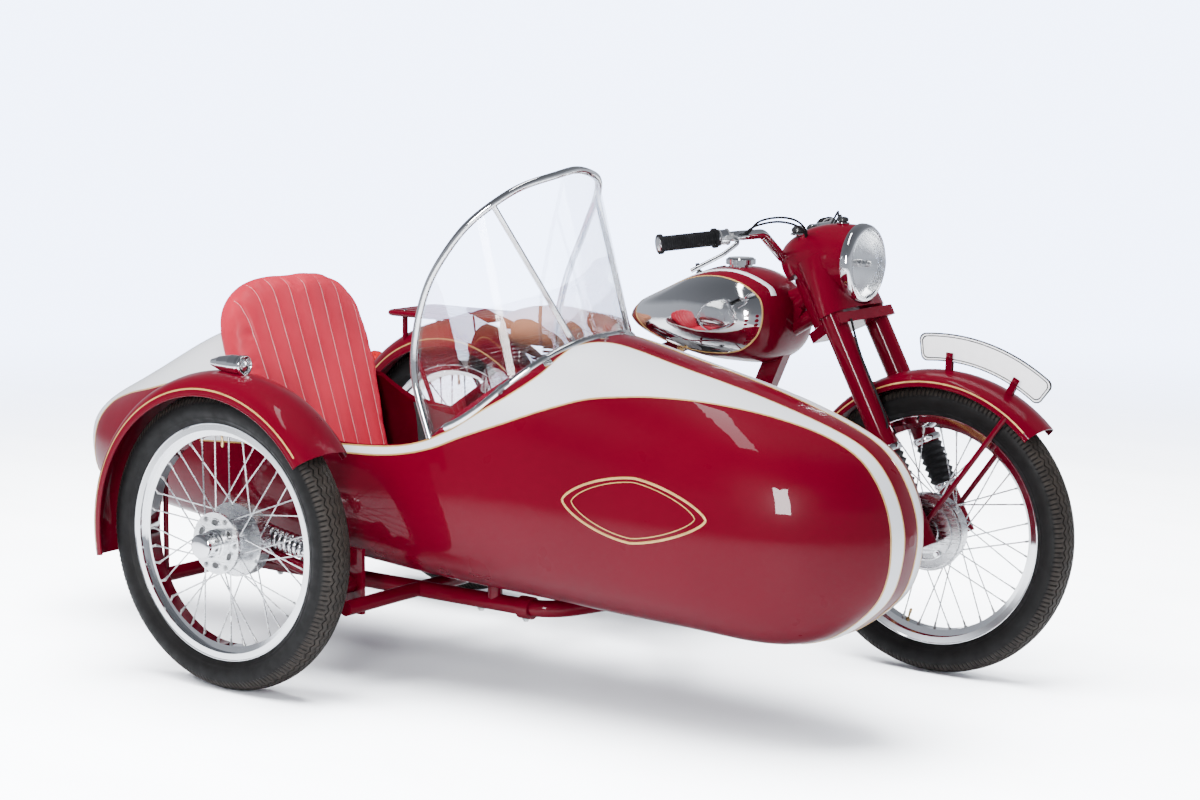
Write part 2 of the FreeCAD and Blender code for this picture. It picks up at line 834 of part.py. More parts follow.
def front_mudguard():
    """Guard between the fork legs, with two flat stays to each axle lug."""
    parts = [guard_shell(front_axle, front_guard_radius, front_guard_half_width,
                         front_guard_lip_radius, front_guard_start_angle, front_guard_end_angle)]
    for side in (-1, 1):
        lug = front_axle + leftward * (side * (leg_spread - axle_lug_width / 2 - stay_radius - running_gap))
        lug = lug + upward * axle_lug_radius
        for angle in (front_guard_start_angle + guard_stay_inset_angle,
                      front_guard_end_angle - guard_stay_inset_angle):
            lip = ring_profile([(front_guard_lip_radius + stay_radius,
                                 side * (front_guard_half_width - guard_wall))], front_axle, angle)[0]
            parts.append(rod(lug, lip, stay_radius))
        foot = leg_point(guard_bridge_z, side) - leftward * (side * (leg_radius + running_gap))
        parts.append(rod(foot, foot - leftward * (side * leg_radius), stay_radius * 1.5))
    return joined(parts)


def front_plate():
    """A blank curved plate edgeways over the guard, on two feet."""
    inner = front_plate_radius
    outer = front_plate_radius + front_plate_height
    half = math.degrees(front_plate_length / (2 * inner))
    profile = [(inner, 0), (outer, 0), (outer, front_plate_thickness), (inner, front_plate_thickness)]
    corners = ring_profile(profile + profile[:1], front_axle, front_plate_middle_angle - half)
    parts = [Part.Face(Part.makePolygon(corners)).revolve(front_axle, -leftward, 2 * half)]
    turn = math.degrees(plate_foot_spacing / (2 * inner))
    for angle in (front_plate_middle_angle - turn, front_plate_middle_angle + turn):
        low, high = ring_profile([(front_guard_radius, 0), (inner + plate_foot_length, 0)], front_axle, angle)
        aside = leftward * (front_plate_thickness + stay_radius / 2)
        parts.append(bar_between(low + aside, high + aside, stay_radius, stay_radius * 3, leftward))
    return joined(parts)


# Frame of the motorcycle

def plunger_point(z, side):
    return point(0, side * plunger_spread, z)


def cradle_point(x, side):
    return point(x, side * cradle_half_width, cradle_z)


def frame():
    """Head tube, flat down tube, twin cradle, seat tubes and rear stays, welded."""
    head = rod(steer_point(head_tube_low_z), steer_point(head_tube_high_z), head_tube_radius)
    top = point(down_tube_top_x, 0, down_tube_top_z)
    foot = point(down_tube_foot_x, 0, down_tube_foot_z)
    neck_low = steer_point(head_tube_low_z + head_tube_radius)
    neck_high = steer_point(head_tube_high_z - head_tube_radius)
    parts = [head, bar_between(top, foot, down_tube_width, down_tube_depth, leftward),
             rod(neck_high, top, backbone_radius), rod(neck_low, top + (foot - top) * 0.12, backbone_radius)]
    seat_node = point(seat_node_x, 0, seat_node_z)
    ridge = point(tank_rear_x, 0, seat_node_z + backbone_radius)
    parts.append(tube([neck_high, ridge, seat_node], backbone_radius, backbone_radius * 4))
    bend = cradle_half_width
    for side in (-1, 1):
        parts.append(tube([foot + upward * frame_tube_radius, cradle_point(cradle_front_x, side),
                           cradle_point(cradle_rear_x, side),
                           plunger_point(plunger_bottom_z + plunger_radius, side)], frame_tube_radius, bend))
        waist = cradle_point(cradle_rear_x, side) + upward * (crankcase_top_z - cradle_z)
        parts.append(tube([cradle_point(cradle_rear_x, side), waist,
                           seat_node + leftward * (side * frame_tube_radius)], frame_tube_radius, bend))
        hip = point(rear_stay_bend_x, side * plunger_spread, seat_node_z - stay_radius * 4)
        parts.append(tube([seat_node + leftward * (side * backbone_radius * 0.5), hip,
                           plunger_point(plunger_top_z - plunger_radius, side)], rear_stay_radius, bend))
        lug = point(stand_pivot_x, side * (stand_half_width + stand_lug_width + running_gap), stand_pivot_z)
        lug_in = lug - leftward * (side * stand_lug_width)
        parts.append(rod(lug, lug_in, stand_lug_radius))
        parts.append(rod((lug + lug_in) * 0.5, cradle_point(stand_pivot_x, side), stand_lug_width / 2))
    parts.append(rod(seat_node - leftward * overrun, seat_node + leftward * overrun, backbone_radius))
    for x in (cradle_front_x - overrun, cradle_rear_x + overrun):
        parts.append(rod(cradle_point(x, -1), cradle_point(x, 1), frame_tube_radius * 0.8))
    stem = rod(steer_point(head_tube_low_z) - steer_up * overrun,
               steer_point(head_tube_high_z) + steer_up * overrun, stem_radius + running_gap)
    pivot = point(stand_pivot_x, 0, stand_pivot_z)
    reach = leftward * (stand_half_width + overrun)
    bore = rod(pivot - reach, pivot + reach, stand_pin_radius + running_gap)
    return joined(parts).cut([stem, bore])


def rear_plungers(bike_frame):
    """Vertical spring boxes of the rear wheel, joined by its spindle."""
    height = plunger_top_z - plunger_bottom_z
    profile = [(0, 0), (plunger_cap_radius, 0), (plunger_radius, plunger_cap_height),
               (plunger_radius, height - plunger_cap_height), (plunger_cap_radius, height), (0, height)]
    parts = [turned(profile, plunger_point(plunger_bottom_z, side), upward) for side in (-1, 1)]
    reach = leftward * rear_axle_reach
    parts.append(rod(rear_axle - reach, rear_axle + reach, axle_radius))
    for side in (-1, 1):
        seat = rear_axle + leftward * (side * (plunger_spread + plunger_radius - stay_radius))
        parts.append(rod(seat, seat + leftward * (side * (axle_nut_width + stay_radius)), axle_nut_radius))
    return joined(parts).cut(bike_frame)


# Engine

def crankcase(bike_frame):
    """One cast block, with round covers over the crank and the gearbox."""
    block = box(point(crankcase_rear_x, -crankcase_half_width, crankcase_bottom_z),
                point(crankcase_front_x, crankcase_half_width, crankcase_top_z))
    edges = [e for e in block.Edges if abs(e.tangentAt(e.FirstParameter).y) > 0.5]
    block = block.makeFillet(crankcase_corner, edges)
    parts = [block]
    for x, radius in ((crank_x, crank_cover_radius), (gear_x, gear_cover_radius)):
        cover = [(0, 0), (radius, 0), (radius, cover_depth * 0.6), (radius * 0.82, cover_depth),
                 (0, cover_depth)]
        for side in (-1, 1):
            parts.append(turned(cover, point(x, side * crankcase_half_width, crank_z), leftward * side))
    tunnel_reach = sprocket_front_radius + chain_height + clear_gap
    front = chain_front()
    tunnel = box(point(crankcase_rear_x - overrun, chain_y - clear_gap, front.z - tunnel_reach),
                 point(front.x + tunnel_reach, chain_y + chain_width + clear_gap, front.z + tunnel_reach))
    return joined(parts).cut([bike_frame, tunnel])


def finned_barrel(base, height, radius, fin_radius, count):
    """A round barrel with evenly spaced thin fins, as one turned profile."""
    pitch = height / count
    profile = [(0, 0), (radius, 0)]
    for i in range(count):
        low = pitch * i + (pitch - fin_thickness) / 2
        profile += [(radius, low), (fin_radius, low), (fin_radius, low + fin_thickness),
                    (radius, low + fin_thickness)]
    profile += [(radius, height), (0, height)]
    return turned(profile, base, upward)


def cylinders():
    return Part.makeCompound([finned_barrel(point(crank_x, side * barrel_spread, crankcase_top_z), barrel_height,
                                            barrel_radius, barrel_fin_radius, barrel_fin_count)
                              for side in (-1, 1)])


def cylinder_heads():
    low = crankcase_top_z + barrel_height
    return Part.makeCompound([finned_barrel(point(crank_x, side * barrel_spread, low), head_height,
                                            head_dome_radius, barrel_fin_radius, head_fin_count)
                              for side in (-1, 1)])


def carburettor(barrels):
    """A level throat behind the barrels with its upright chamber and manifold."""
    z = crankcase_top_z + barrel_height * 0.42
    start = point(crank_x - barrel_radius, 0, z)
    middle = start - forward * (carburettor_length / 2)
    throat = rod(start, start - forward * carburettor_length, carburettor_radius)
    manifold = rod(start - leftward * barrel_spread, start + leftward * barrel_spread, carburettor_radius * 0.8)
    chamber = rod(middle - upward * (carburettor_length * 0.5), middle + upward * (carburettor_length * 0.7),
                  carburettor_radius * 0.9)
    return joined([throat, manifold, chamber]).cut(barrels)


def exhaust(side, barrels):
    """A pipe from the front of the barrel, down and back to a silencer."""
    y = side * pipe_spread
    port = point(crank_x + barrel_radius * 0.9, side * barrel_spread, crankcase_top_z + barrel_height * 0.45)
    path = [port, port + forward * (pipe_bend * 1.9) + leftward * (side * pipe_radius),
            point(crankcase_front_x + pipe_bend * 0.7, y, pipe_low_z + pipe_bend),
            point(crank_x, y, pipe_low_z), point(silencer_front_x, y, pipe_low_z)]
    pipe = tube(path, pipe_radius, pipe_bend)
    body = silencer_length - silencer_cone_length - silencer_tail_length
    tip = pipe_radius * 0.7
    profile = [(0, 0), (pipe_radius, 0), (silencer_radius, silencer_cone_length),
               (silencer_radius, silencer_cone_length + body * 0.7), (tip, silencer_cone_length + body),
               (tip, silencer_length), (0, silencer_length)]
    muffler = turned(profile, point(silencer_front_x, y, pipe_low_z), -forward)
    return joined([pipe, muffler]).cut(barrels)


# Tank, saddle and rear

def fuel_tank(bike_frame):
    """A drop-shaped tank that sits over the backbone and close to the head."""
    length = tank_front_x - tank_rear_x
    sections = []
    for s, w, t, b in zip(tank_station_shares, tank_width_shares, tank_top_shares, tank_bottom_shares):
        top = t * (tank_top_z - tank_middle_z)
        bottom = b * (tank_middle_z - tank_bottom_z)
        half = (top + bottom) / 2
        middle = point(tank_rear_x + s * length, 0, tank_middle_z + (top - bottom) / 2)
        sections.append(oval_section(middle, w * tank_half_width, half, half,
                                     tank_square, tank_square, small_point_count))
    body = Part.makeLoft(sections, True, False)
    head = rod(steer_point(head_tube_low_z) - steer_up * overrun,
               steer_point(head_tube_high_z) + steer_up * overrun, head_tube_radius + clear_gap)
    return biggest(body.cut([head, bike_frame]))


def tank_cap(tank):
    column = box(point(tank_cap_x, 0, tank_middle_z),
                 point(tank_cap_x + running_gap, running_gap, tank_top_z + overrun))
    low = tank.common(column).optimalBoundingBox().ZMax - tank_collar_height * 0.6
    profile = [(0, 0), (tank_cap_radius * 0.8, 0), (tank_cap_radius * 0.8, tank_collar_height),
               (tank_cap_radius, tank_collar_height), (tank_cap_radius, tank_cap_height),
               (tank_cap_radius * 0.85, tank_cap_height + tank_collar_height * 0.5),
               (0, tank_cap_height + tank_collar_height * 0.5)]
    return turned(profile, point(tank_cap_x, 0, low), upward).cut(tank)


def saddle():
    """A sprung rider's saddle, wide behind and narrow in front."""
    length = saddle_front_x - saddle_rear_x
    height = saddle_top_z - saddle_base_z
    sections = []
    for s, w, t in zip(saddle_station_shares, saddle_width_shares, saddle_top_shares):
        middle = point(saddle_rear_x + s * length, 0, saddle_base_z + height * 0.45)
        sections.append(oval_section(middle, w * saddle_half_width, height * 0.55 * t, height * 0.45,
                                     2.6, 3, small_point_count))
    return Part.makeLoft(sections, True, False)


def saddle_springs(bike_frame, seat):
    """Two upright springs under the rear of the saddle and its nose bracket."""
    pieces = []
    low = seat_node_z + backbone_radius * 0.2
    fold = (saddle_base_z - low) / (2 * saddle_spring_fold_count)
    neck = saddle_spring_radius * 0.75
    seat_node = point(seat_node_x, 0, seat_node_z)
    for side in (-1, 1):
        base = point(saddle_rear_x + saddle_spring_radius * 2.5, side * saddle_spring_spread, low)
        profile = [(0, 0)]
        for i in range(saddle_spring_fold_count):
            profile.append((neck, fold * 2 * i))
            profile.append((saddle_spring_radius, fold * (2 * i + 1)))
        profile += [(neck, saddle_base_z - low), (0, saddle_base_z - low)]
        pieces.append(turned(profile, base, upward))
        pieces.append(rod(base, seat_node + leftward * (side * backbone_radius), stay_radius))
    nose = point(saddle_front_x - saddle_spring_radius * 2, 0, saddle_base_z)
    pivot = nose - upward * saddle_spring_radius * 1.6
    pieces.append(rod(pivot, nose + upward * stay_radius, stay_radius * 2))
    link = nose - upward * saddle_spring_radius * 1.4
    pieces.append(rod(link, seat_node + upward * backbone_radius, stay_radius))
    return joined(pieces).cut([bike_frame, seat])


def rear_mudguard(others):
    """Deep guard over the rear wheel with a stay down to each spring box."""
    parts = [guard_shell(rear_axle, rear_guard_radius, rear_guard_half_width,
                         rear_guard_lip_radius, rear_guard_start_angle, rear_guard_end_angle)]
    for side in (-1, 1):
        foot = plunger_point(plunger_top_z - plunger_cap_height, side)
        lip = ring_profile([(rear_guard_lip_radius + stay_radius, side * rear_guard_half_width)],
                           rear_axle, rear_stay_angle)[0]
        parts.append(rod(foot, lip, stay_radius))
    return biggest(joined(parts).cut(others))


def luggage_rack(guard):
    """A flat rack of slats in a bent rail, on posts from the guard."""
    corner = rack_bar_radius * 4
    rail = [point(rack_front_x, 0, rack_z), point(rack_front_x, rack_half_width, rack_z),
            point(rack_rear_x, rack_half_width, rack_z), point(rack_rear_x, -rack_half_width, rack_z),
            point(rack_front_x, -rack_half_width, rack_z), point(rack_front_x, 0, rack_z)]
    parts = [tube(rail, rack_bar_radius, corner)]
    pitch = 2 * rack_half_width / (rack_slat_count + 1)
    top = rack_z + rack_bar_radius
    for i in range(rack_slat_count):
        y = -rack_half_width + pitch * (i + 1)
        parts.append(box(point(rack_rear_x, y - rack_slat_width / 2, top - rack_slat_height),
                         point(rack_front_x, y + rack_slat_width / 2, top)))
    for x in (rack_front_x - rack_post_inset, rack_rear_x + rack_post_inset):
        for side in (-1, 1):
            y = side * rack_post_spread
            foot_z = tyre_radius + math.sqrt(rear_guard_lip_radius ** 2 - x * x)
            parts.append(rod(point(x, y, foot_z), point(x, y, rack_z), rack_post_radius))
        end = point(x, rack_half_width, rack_z)
        parts.append(rod(point(x, -rack_half_width, rack_z), end, rack_post_radius * 0.8))
    return biggest(joined(parts).cut(guard))


def rear_plate(guard):
    """A blank upright plate with four holes, on a foot from the guard."""
    half_y = rear_plate_width / 2
    half_z = rear_plate_height / 2
    x = -math.sqrt(rear_guard_radius ** 2 - (rear_plate_z - tyre_radius) ** 2) - rear_plate_gap
    plate = box(point(x - rear_plate_thickness, -half_y, rear_plate_z - half_z),
                point(x, half_y, rear_plate_z + half_z))
    holes = []
    for sy in (-1, 1):
        for sz in (-1, 1):
            hole = point(x - overrun, sy * rear_plate_hole_spacing_y / 2,
                         rear_plate_z + sz * rear_plate_hole_spacing_z / 2)
            holes.append(rod(hole, hole + forward * (2 * overrun), plate_hole_radius))
    foot = box(point(x, -stay_radius * 2, rear_plate_z - stay_radius * 2),
               point(x + overrun, stay_radius * 2, rear_plate_z + stay_radius * 2))
    return biggest(joined([plate.cut(holes), foot]).cut(guard))


def tail_lamp(guard):
    x = -math.sqrt(rear_guard_radius ** 2 - (tail_lamp_z - tyre_radius) ** 2)
    profile = [(0, 0), (tail_lamp_radius * 0.8, 0), (tail_lamp_radius, tail_lamp_length * 0.5),
               (tail_lamp_radius, tail_lamp_length * 0.8), (tail_lamp_radius * 0.6, tail_lamp_length),
               (0, tail_lamp_length)]
    return biggest(turned(profile, point(x + tail_lamp_length / 4, 0, tail_lamp_z), -forward).cut(guard))


def side_boxes(bike_frame):
    """Closed boxes for tools and battery on both sides behind the seat tubes."""
    boxes = []
    front_x = cradle_rear_x - frame_tube_radius - running_gap
    for side in (-1, 1):
        y0, y1 = sorted((side * side_box_inner_y, side * (side_box_inner_y + side_box_depth)))
        block = box(point(front_x - side_box_length, y0, side_box_low_z), point(front_x, y1, side_box_high_z))
        boxes.append(biggest(block.makeFillet(side_box_corner, block.Edges).cut(bike_frame)))
    return Part.makeCompound(boxes)


def footrests(bike_frame):
    """A round rubber peg on a bar out from each side of the cradle."""
    pegs = []
    for side in (-1, 1):
        start = cradle_point(peg_x, side)
        elbow = point(peg_x, side * peg_inner_y, cradle_z)
        end = elbow + leftward * (side * peg_length)
        pegs.append(joined([rod(start, elbow, peg_bar_radius), rod(elbow, end, peg_radius)]).cut(bike_frame))
    return Part.makeCompound(pegs)


def brake_pedal(pegs):
    """A pedal ahead of the right footrest, from a boss on its bar."""
    y = -peg_inner_y + kick_boss_radius
    root = point(peg_x, y, cradle_z)
    half = leftward * kick_boss_radius / 2
    boss = rod(root - half, root + half, kick_boss_radius * 1.3)
    toe = root + point(pedal_length, -pedal_radius * 4, kick_boss_radius)
    arm = tube([root + forward * kick_boss_radius, root + point(pedal_length * 0.4, 0, -kick_boss_radius),
                toe], pedal_radius, kick_boss_radius * 2)
    pad = rod(toe - leftward * pedal_radius * 3, toe + leftward * pedal_radius, pedal_radius * 1.6)
    return biggest(joined([boss, arm, pad]).cut(pegs))


def kick_lever():
    """The starter lever, folded up against the left cover."""
    start = point(gear_x, crankcase_half_width + cover_depth, crank_z)
    end = start + leftward * kick_boss_length
    tip = end + point(-kick_lever_length * 0.35, 0, kick_lever_length * 0.94)
    return joined([rod(start, end, kick_boss_radius),
                   rod(end - leftward * kick_lever_radius, tip, kick_lever_radius),
                   rod(tip, tip + leftward * (kick_lever_length * 0.4), kick_lever_radius)])


def centre_stand():
    """A two-legged stand, folded back under the cradle."""
    pivot = point(stand_pivot_x, 0, stand_pivot_z)
    across = leftward * (stand_half_width - running_gap)
    pin = leftward * (stand_half_width + stand_lug_width)
    parts = [rod(pivot - across, pivot + across, stand_leg_radius)]
    parts.append(rod(pivot - pin, pivot + pin, stand_pin_radius))
    for side in (-1, 1):
        root = pivot + leftward * (side * (stand_half_width - stand_leg_radius - running_gap))
        foot = root + point(-stand_leg_length, 0, -stand_rest_drop)
        parts.append(rod(root, foot, stand_leg_radius))
        parts.append(rod(foot, foot + point(-stand_foot_length * 0.5, side * stand_foot_length * 0.8, 0),
                         stand_leg_radius))
    tie = pivot + point(-stand_leg_length * 0.6, 0, -stand_rest_drop * 0.6)
    reach = leftward * (stand_half_width - stand_leg_radius)
    parts.append(rod(tie - reach, tie + reach, stand_leg_radius * 0.7))
    return joined(parts)


def chain_front():
    return point(crankcase_rear_x + sprocket_front_radius, chain_y, crank_z)


def chain_loop(grow):
    """The outline of the chain at a distance outside the sprockets, as a plate."""
    front = chain_front()
    rear = point(0, chain_y, tyre_radius)
    gap = front.x - rear.x
    tilt = math.asin((sprocket_rear_radius - sprocket_front_radius) / gap)
    lean = math.atan2(front.z - rear.z, gap)
    ends = []
    for centre, radius in ((rear, sprocket_rear_radius + grow), (front, sprocket_front_radius + grow)):
        for turn in (math.pi / 2 - tilt, tilt - math.pi / 2):
            angle = turn + lean
            ends.append(centre + point(radius * math.cos(angle), 0, radius * math.sin(angle)))
    axis = point(math.cos(lean), 0, math.sin(lean))
    back = rear - axis * (sprocket_rear_radius + grow)
    nose = front + axis * (sprocket_front_radius + grow)
    edges = [Part.Arc(ends[1], back, ends[0]).toShape(), Part.makeLine(ends[0], ends[2]),
             Part.Arc(ends[2], nose, ends[3]).toShape(), Part.makeLine(ends[3], ends[1])]
    return Part.Face(Part.Wire(edges)).extrude(leftward * chain_width)


def rear_chain():
    return chain_loop(chain_height).cut(chain_loop(0))


def rear_sprocket():
    """The toothed ring's disc on the wheel, stood off from the drum."""
    drum_face = hub_half_width
    outer = sprocket_rear_radius - running_gap
    bore = axle_radius + running_gap
    shelf = chain_y - drum_face
    profile = [(bore, 0), (hub_drum_radius * 0.6, 0), (hub_drum_radius * 0.6, shelf), (outer, shelf),
               (outer, shelf + chain_width), (bore, shelf + chain_width)]
    return turned(profile, rear_axle + leftward * drum_face, leftward)


# Sidecar

def hull_solid(inset):
    """The boat-shaped outer form; an inset gives the inner face of the wall."""
    sections = []
    for s, w, t, b in zip(hull_station_shares, hull_width_shares, hull_top_shares, hull_bottom_shares):
        half, rise, drop = [max(size - inset, size / 2) for size in
                            (w * hull_half_width, t * hull_top_rise, b * hull_bottom_drop)]
        middle = point(hull_tail_x + inset + s * (hull_length - 2 * inset), hull_middle_y, hull_middle_z)
        sections.append(oval_section(middle, half, rise, drop, hull_square_top,
                                     hull_square_bottom, hull_point_count))
    return Part.makeLoft(sections, True, False)


def hull_share(shares, x):
    """A value along the hull, on a smooth curve through its stations."""
    stations = hull_station_shares
    s = (x - hull_tail_x) / hull_length
    i = max(j for j in range(len(stations) - 1) if stations[j] <= s)
    step = stations[i + 1] - stations[i]
    t = (s - stations[i]) / step

    def slope(j):
        a, b = max(j - 1, 0), min(j + 1, len(stations) - 1)
        return (shares[b] - shares[a]) / (stations[b] - stations[a]) * step
    a, b = shares[i], shares[i + 1]
    return (a * (1 + 2 * t) * (1 - t) ** 2 + slope(i) * t * (1 - t) ** 2
            + b * t * t * (3 - 2 * t) - slope(i + 1) * t * t * (1 - t))


def cowl_z(x, y):
    """Height of the hull's upper face at a place in plan."""
    half = hull_share(hull_width_shares, x) * hull_half_width
    rise = hull_share(hull_top_shares, x) * hull_top_rise
    out = min(abs(y - hull_middle_y) / half, 1)
    return hull_middle_z + rise * (1 - out ** hull_square_top) ** (1 / hull_square_top)


def cockpit_cutter():
    """The opening in plan: half an oval in front, straight sides, a round rear."""
    y = hull_middle_y
    z = hull_middle_z
    w = screen_half_width
    waist = cockpit_rear_x + cockpit_rear_length
    nose = Part.Ellipse(point(screen_middle_x, y, z), screen_length, w).toShape(-math.pi / 2, math.pi / 2)
    near = point(screen_middle_x, y - w, z)
    far = point(screen_middle_x, y + w, z)
    far_waist = point(waist, y + w, z)
    near_waist = point(waist, y - w, z)
    rear = Part.Arc(far_waist, point(cockpit_rear_x, y, z), near_waist).toShape()
    outline = Part.Wire([nose, Part.makeLine(far, far_waist), rear, Part.makeLine(near_waist, near)])
    return Part.Face(outline).extrude(upward * (hull_top_rise + overrun))


def hull_parts():
    """The wall of the hull, split where its three pressings meet."""
    outer = hull_solid(0)
    inner = hull_solid(hull_wall)
    wall = outer.cut([inner, cockpit_cutter(), seat_slab(running_gap)])
    reach = point(hull_length, hull_length, hull_length)
    low = point(hull_tail_x, hull_middle_y, hull_middle_z) - reach
    high = point(hull_nose_x, hull_middle_y, hull_middle_z) + reach
    nose = wall.common(box(point(nose_joint_x, low.y, low.z), high))
    tail = wall.common(box(low, point(tail_joint_x, high.y, high.z)))
    tub = wall.common(box(point(tail_joint_x, low.y, low.z), point(nose_joint_x, high.y, high.z)))
    return outer, inner, nose, tub, tail


def screen_middle(z):
    """X of the middle of the screen's oval plan at a height."""
    return screen_middle_x - (z - screen_base_z) * screen_lean


def screen_plan(z, inset):
    """One leaning section of the sheet: half an oval with straight tails."""
    x = screen_middle(z)
    y = hull_middle_y
    length = screen_length - inset
    half = screen_half_width - inset
    arc = Part.Ellipse(point(x, y, z), length, half).toShape(-math.pi / 2, math.pi / 2)
    back = forward * -screen_length
    near = point(x, y - half, z)
    far = point(x, y + half, z)
    return arc, near, far, near + back, far + back


def screen_sheet():
    """The whole leaning sheet before it is trimmed by the hoop and the cowl."""
    low_z = hoop_foot_z - overrun * 2
    rise = screen_top_z + overrun - low_z
    along = point(-rise * screen_lean, 0, rise)
    outer, near, far, near_back, far_back = screen_plan(low_z, 0)
    inner, near_in, far_in, near_in_back, far_in_back = screen_plan(low_z, screen_glass_thickness)
    wire = Part.Wire([outer, Part.makeLine(far, far_back), Part.makeLine(far_back, far_in_back),
                      Part.makeLine(far_in_back, far_in), inner, Part.makeLine(near_in, near_in_back),
                      Part.makeLine(near_in_back, near_back), Part.makeLine(near_back, near)])
    return Part.Face(wire).extrude(along)


def hoop_places():
    """Height and X of the hoop's side view, from its foot to its top."""
    height = screen_top_z - hoop_foot_z
    places = [(hoop_foot_z + h * height, screen_middle_x + x * screen_length)
              for h, x in zip(hoop_height_shares, hoop_x_shares)]
    top_x = screen_middle(screen_top_z) + screen_length - screen_glass_thickness / 2
    return places + [(screen_top_z, top_x)]


def hoop_points(side):
    """The hoop where its side view meets the sheet's mid face, from foot to top."""
    points = []
    half = screen_half_width - screen_glass_thickness / 2
    length = screen_length - screen_glass_thickness / 2
    for z, x in hoop_places():
        lead = min(1, max(0, (x - screen_middle(z)) / length))
        points.append(point(x, hull_middle_y + side * half * math.sqrt(1 - lead * lead), z))
    return points


def cowl_point(angle):
    """Where the sheet's outer face meets the cowl, at an angle round its oval."""
    z = hoop_foot_z
    y = hull_middle_y + screen_half_width * math.sin(angle)
    for _ in range(cowl_pass_count):
        x = min(screen_middle(z) + screen_length * math.cos(angle), nose_joint_x)
        z = cowl_z(x, y)
    return point(x, y, z)


def windscreen(cowl):
    """The sheet of glass and the bright frame that holds its edges."""
    near = hoop_points(-1)
    far = hoop_points(1)
    hoop = swept(near + list(reversed(far))[1:], hoop_radius)
    turns = [math.pi * (i / cowl_strip_steps - 0.5) for i in range(cowl_strip_steps + 1)]
    strip = swept([cowl_point(a) for a in turns], hoop_radius)
    brace_z = hoop_foot_z + brace_top_share * (screen_top_z - hoop_foot_z)
    braces = []
    for side, line in ((-1, near), (1, far)):
        start = min(line, key=lambda p: abs(p.z - brace_z))
        end = cowl_point(side * math.radians(brace_foot_angle)) - forward * hoop_radius / 2
        braces.append(bar_between(start, end, brace_width, brace_thickness, forward))
    bars = biggest(joined([hoop, strip] + braces).cut(cowl))
    side_view = [point(x, 0, z) for z, x in hoop_places()]
    ahead = point(hull_nose_x, 0, screen_top_z)
    below = point(hull_nose_x, 0, hoop_foot_z)
    keep = Part.Face(Part.Wire([open_curve(side_view), Part.makeLine(side_view[-1], ahead),
                                Part.makeLine(ahead, below), Part.makeLine(below, side_view[0])]))
    keep.translate(leftward * (hull_middle_y - screen_half_width * 2))
    keep = keep.extrude(leftward * (screen_half_width * 4))
    glass = screen_sheet().common(keep).cut(bars).cut(cowl)
    return biggest(glass), bars


def seat_slab(grow):
    """The back rest's form, leaning back; it can be grown to clear it."""
    half = seat_back_width / 2 + grow
    height = seat_back_height + grow
    thickness = seat_back_thickness + grow * 2
    crown = [point(0, half * w, height * h) for w, h in seat_crown_shares]
    crown += [point(0, -p.y, p.z) for p in reversed(crown[:-1])]
    foot = half * seat_foot_share
    left = point(0, foot, 0)
    right = point(0, -foot, 0)
    wire = Part.Wire([open_curve(crown), Part.makeLine(crown[-1], right),
                      Part.makeLine(right, left), Part.makeLine(left, crown[0])])
    slab = Part.Face(wire).extrude(forward * -thickness)
    slab.translate(forward * grow)
    slab.rotate(point(), leftward, -seat_back_lean_angle)
    slab.translate(point(seat_back_foot_x, hull_middle_y, seat_back_foot_z))
    return slab


def seat_back():
    """A tall back rest with a round crown and soft edges."""
    slab = seat_slab(0)
    lean = FreeCAD.Rotation(leftward, -seat_back_lean_angle).multVec(forward)
    rims = [e for e in slab.Edges if abs((e.Vertexes[-1].Point - e.Vertexes[0].Point).dot(lean)) < soft_gap]
    return slab.makeFillet(seat_edge_round, rims)


def seat_cushion():
    """The seat's pad, which starts at the face of the back rest."""
    low = seat_cushion_top_z - seat_cushion_height
    block = box(point(seat_back_foot_x + soft_gap, hull_middle_y - seat_cushion_half_width, low),
                point(seat_cushion_front_x, hull_middle_y + seat_cushion_half_width, seat_cushion_top_z))
    return block.makeFillet(seat_cushion_round, block.Edges)


def seat_base(inner):
    """The board and box under the cushion, down to the floor of the hull."""
    top = seat_cushion_top_z - seat_cushion_height - running_gap
    low = point(seat_back_foot_x + soft_gap, hull_middle_y - seat_cushion_half_width,
                top - seat_base_height)
    board = box(low, point(seat_cushion_front_x, hull_middle_y + seat_cushion_half_width, top))
    return biggest(board.common(inner))


def side_mudguard():
    """Guard over the sidecar wheel, on two posts from the chassis arms."""
    parts = [guard_shell(side_axle, side_guard_radius, side_guard_half_width,
                         side_guard_lip_radius, side_guard_start_angle, side_guard_end_angle)]
    post_y = -sidecar_track + side_guard_half_width
    for x in (guard_post_front_x, chassis_rear_x + guard_post_inset):
        reach = math.sqrt(side_guard_lip_radius ** 2 - (x - sidecar_lead) ** 2)
        top = point(x, post_y, tyre_radius + reach + stay_radius)
        foot = point(x, post_y, chassis_z + cross_tube_radius + running_gap)
        parts.append(rod(foot, top, stay_radius))
    return biggest(joined(parts))


def marker_lamp():
    """A drop-shaped lamp on the crown of the sidecar guard."""
    crown = tyre_radius + side_guard_radius
    profile = [(marker_radius * r, marker_length * s) for r, s in marker_profile_shares]
    base = point(sidecar_lead + marker_length / 2, -sidecar_track, crown + marker_radius * 0.7)
    lamp = turned(profile, base, -forward)
    guard_fill = Part.makeCylinder(side_guard_radius, side_guard_half_width * 2,
                                   side_axle - leftward * side_guard_half_width, leftward)
    return biggest(lamp.cut(guard_fill))


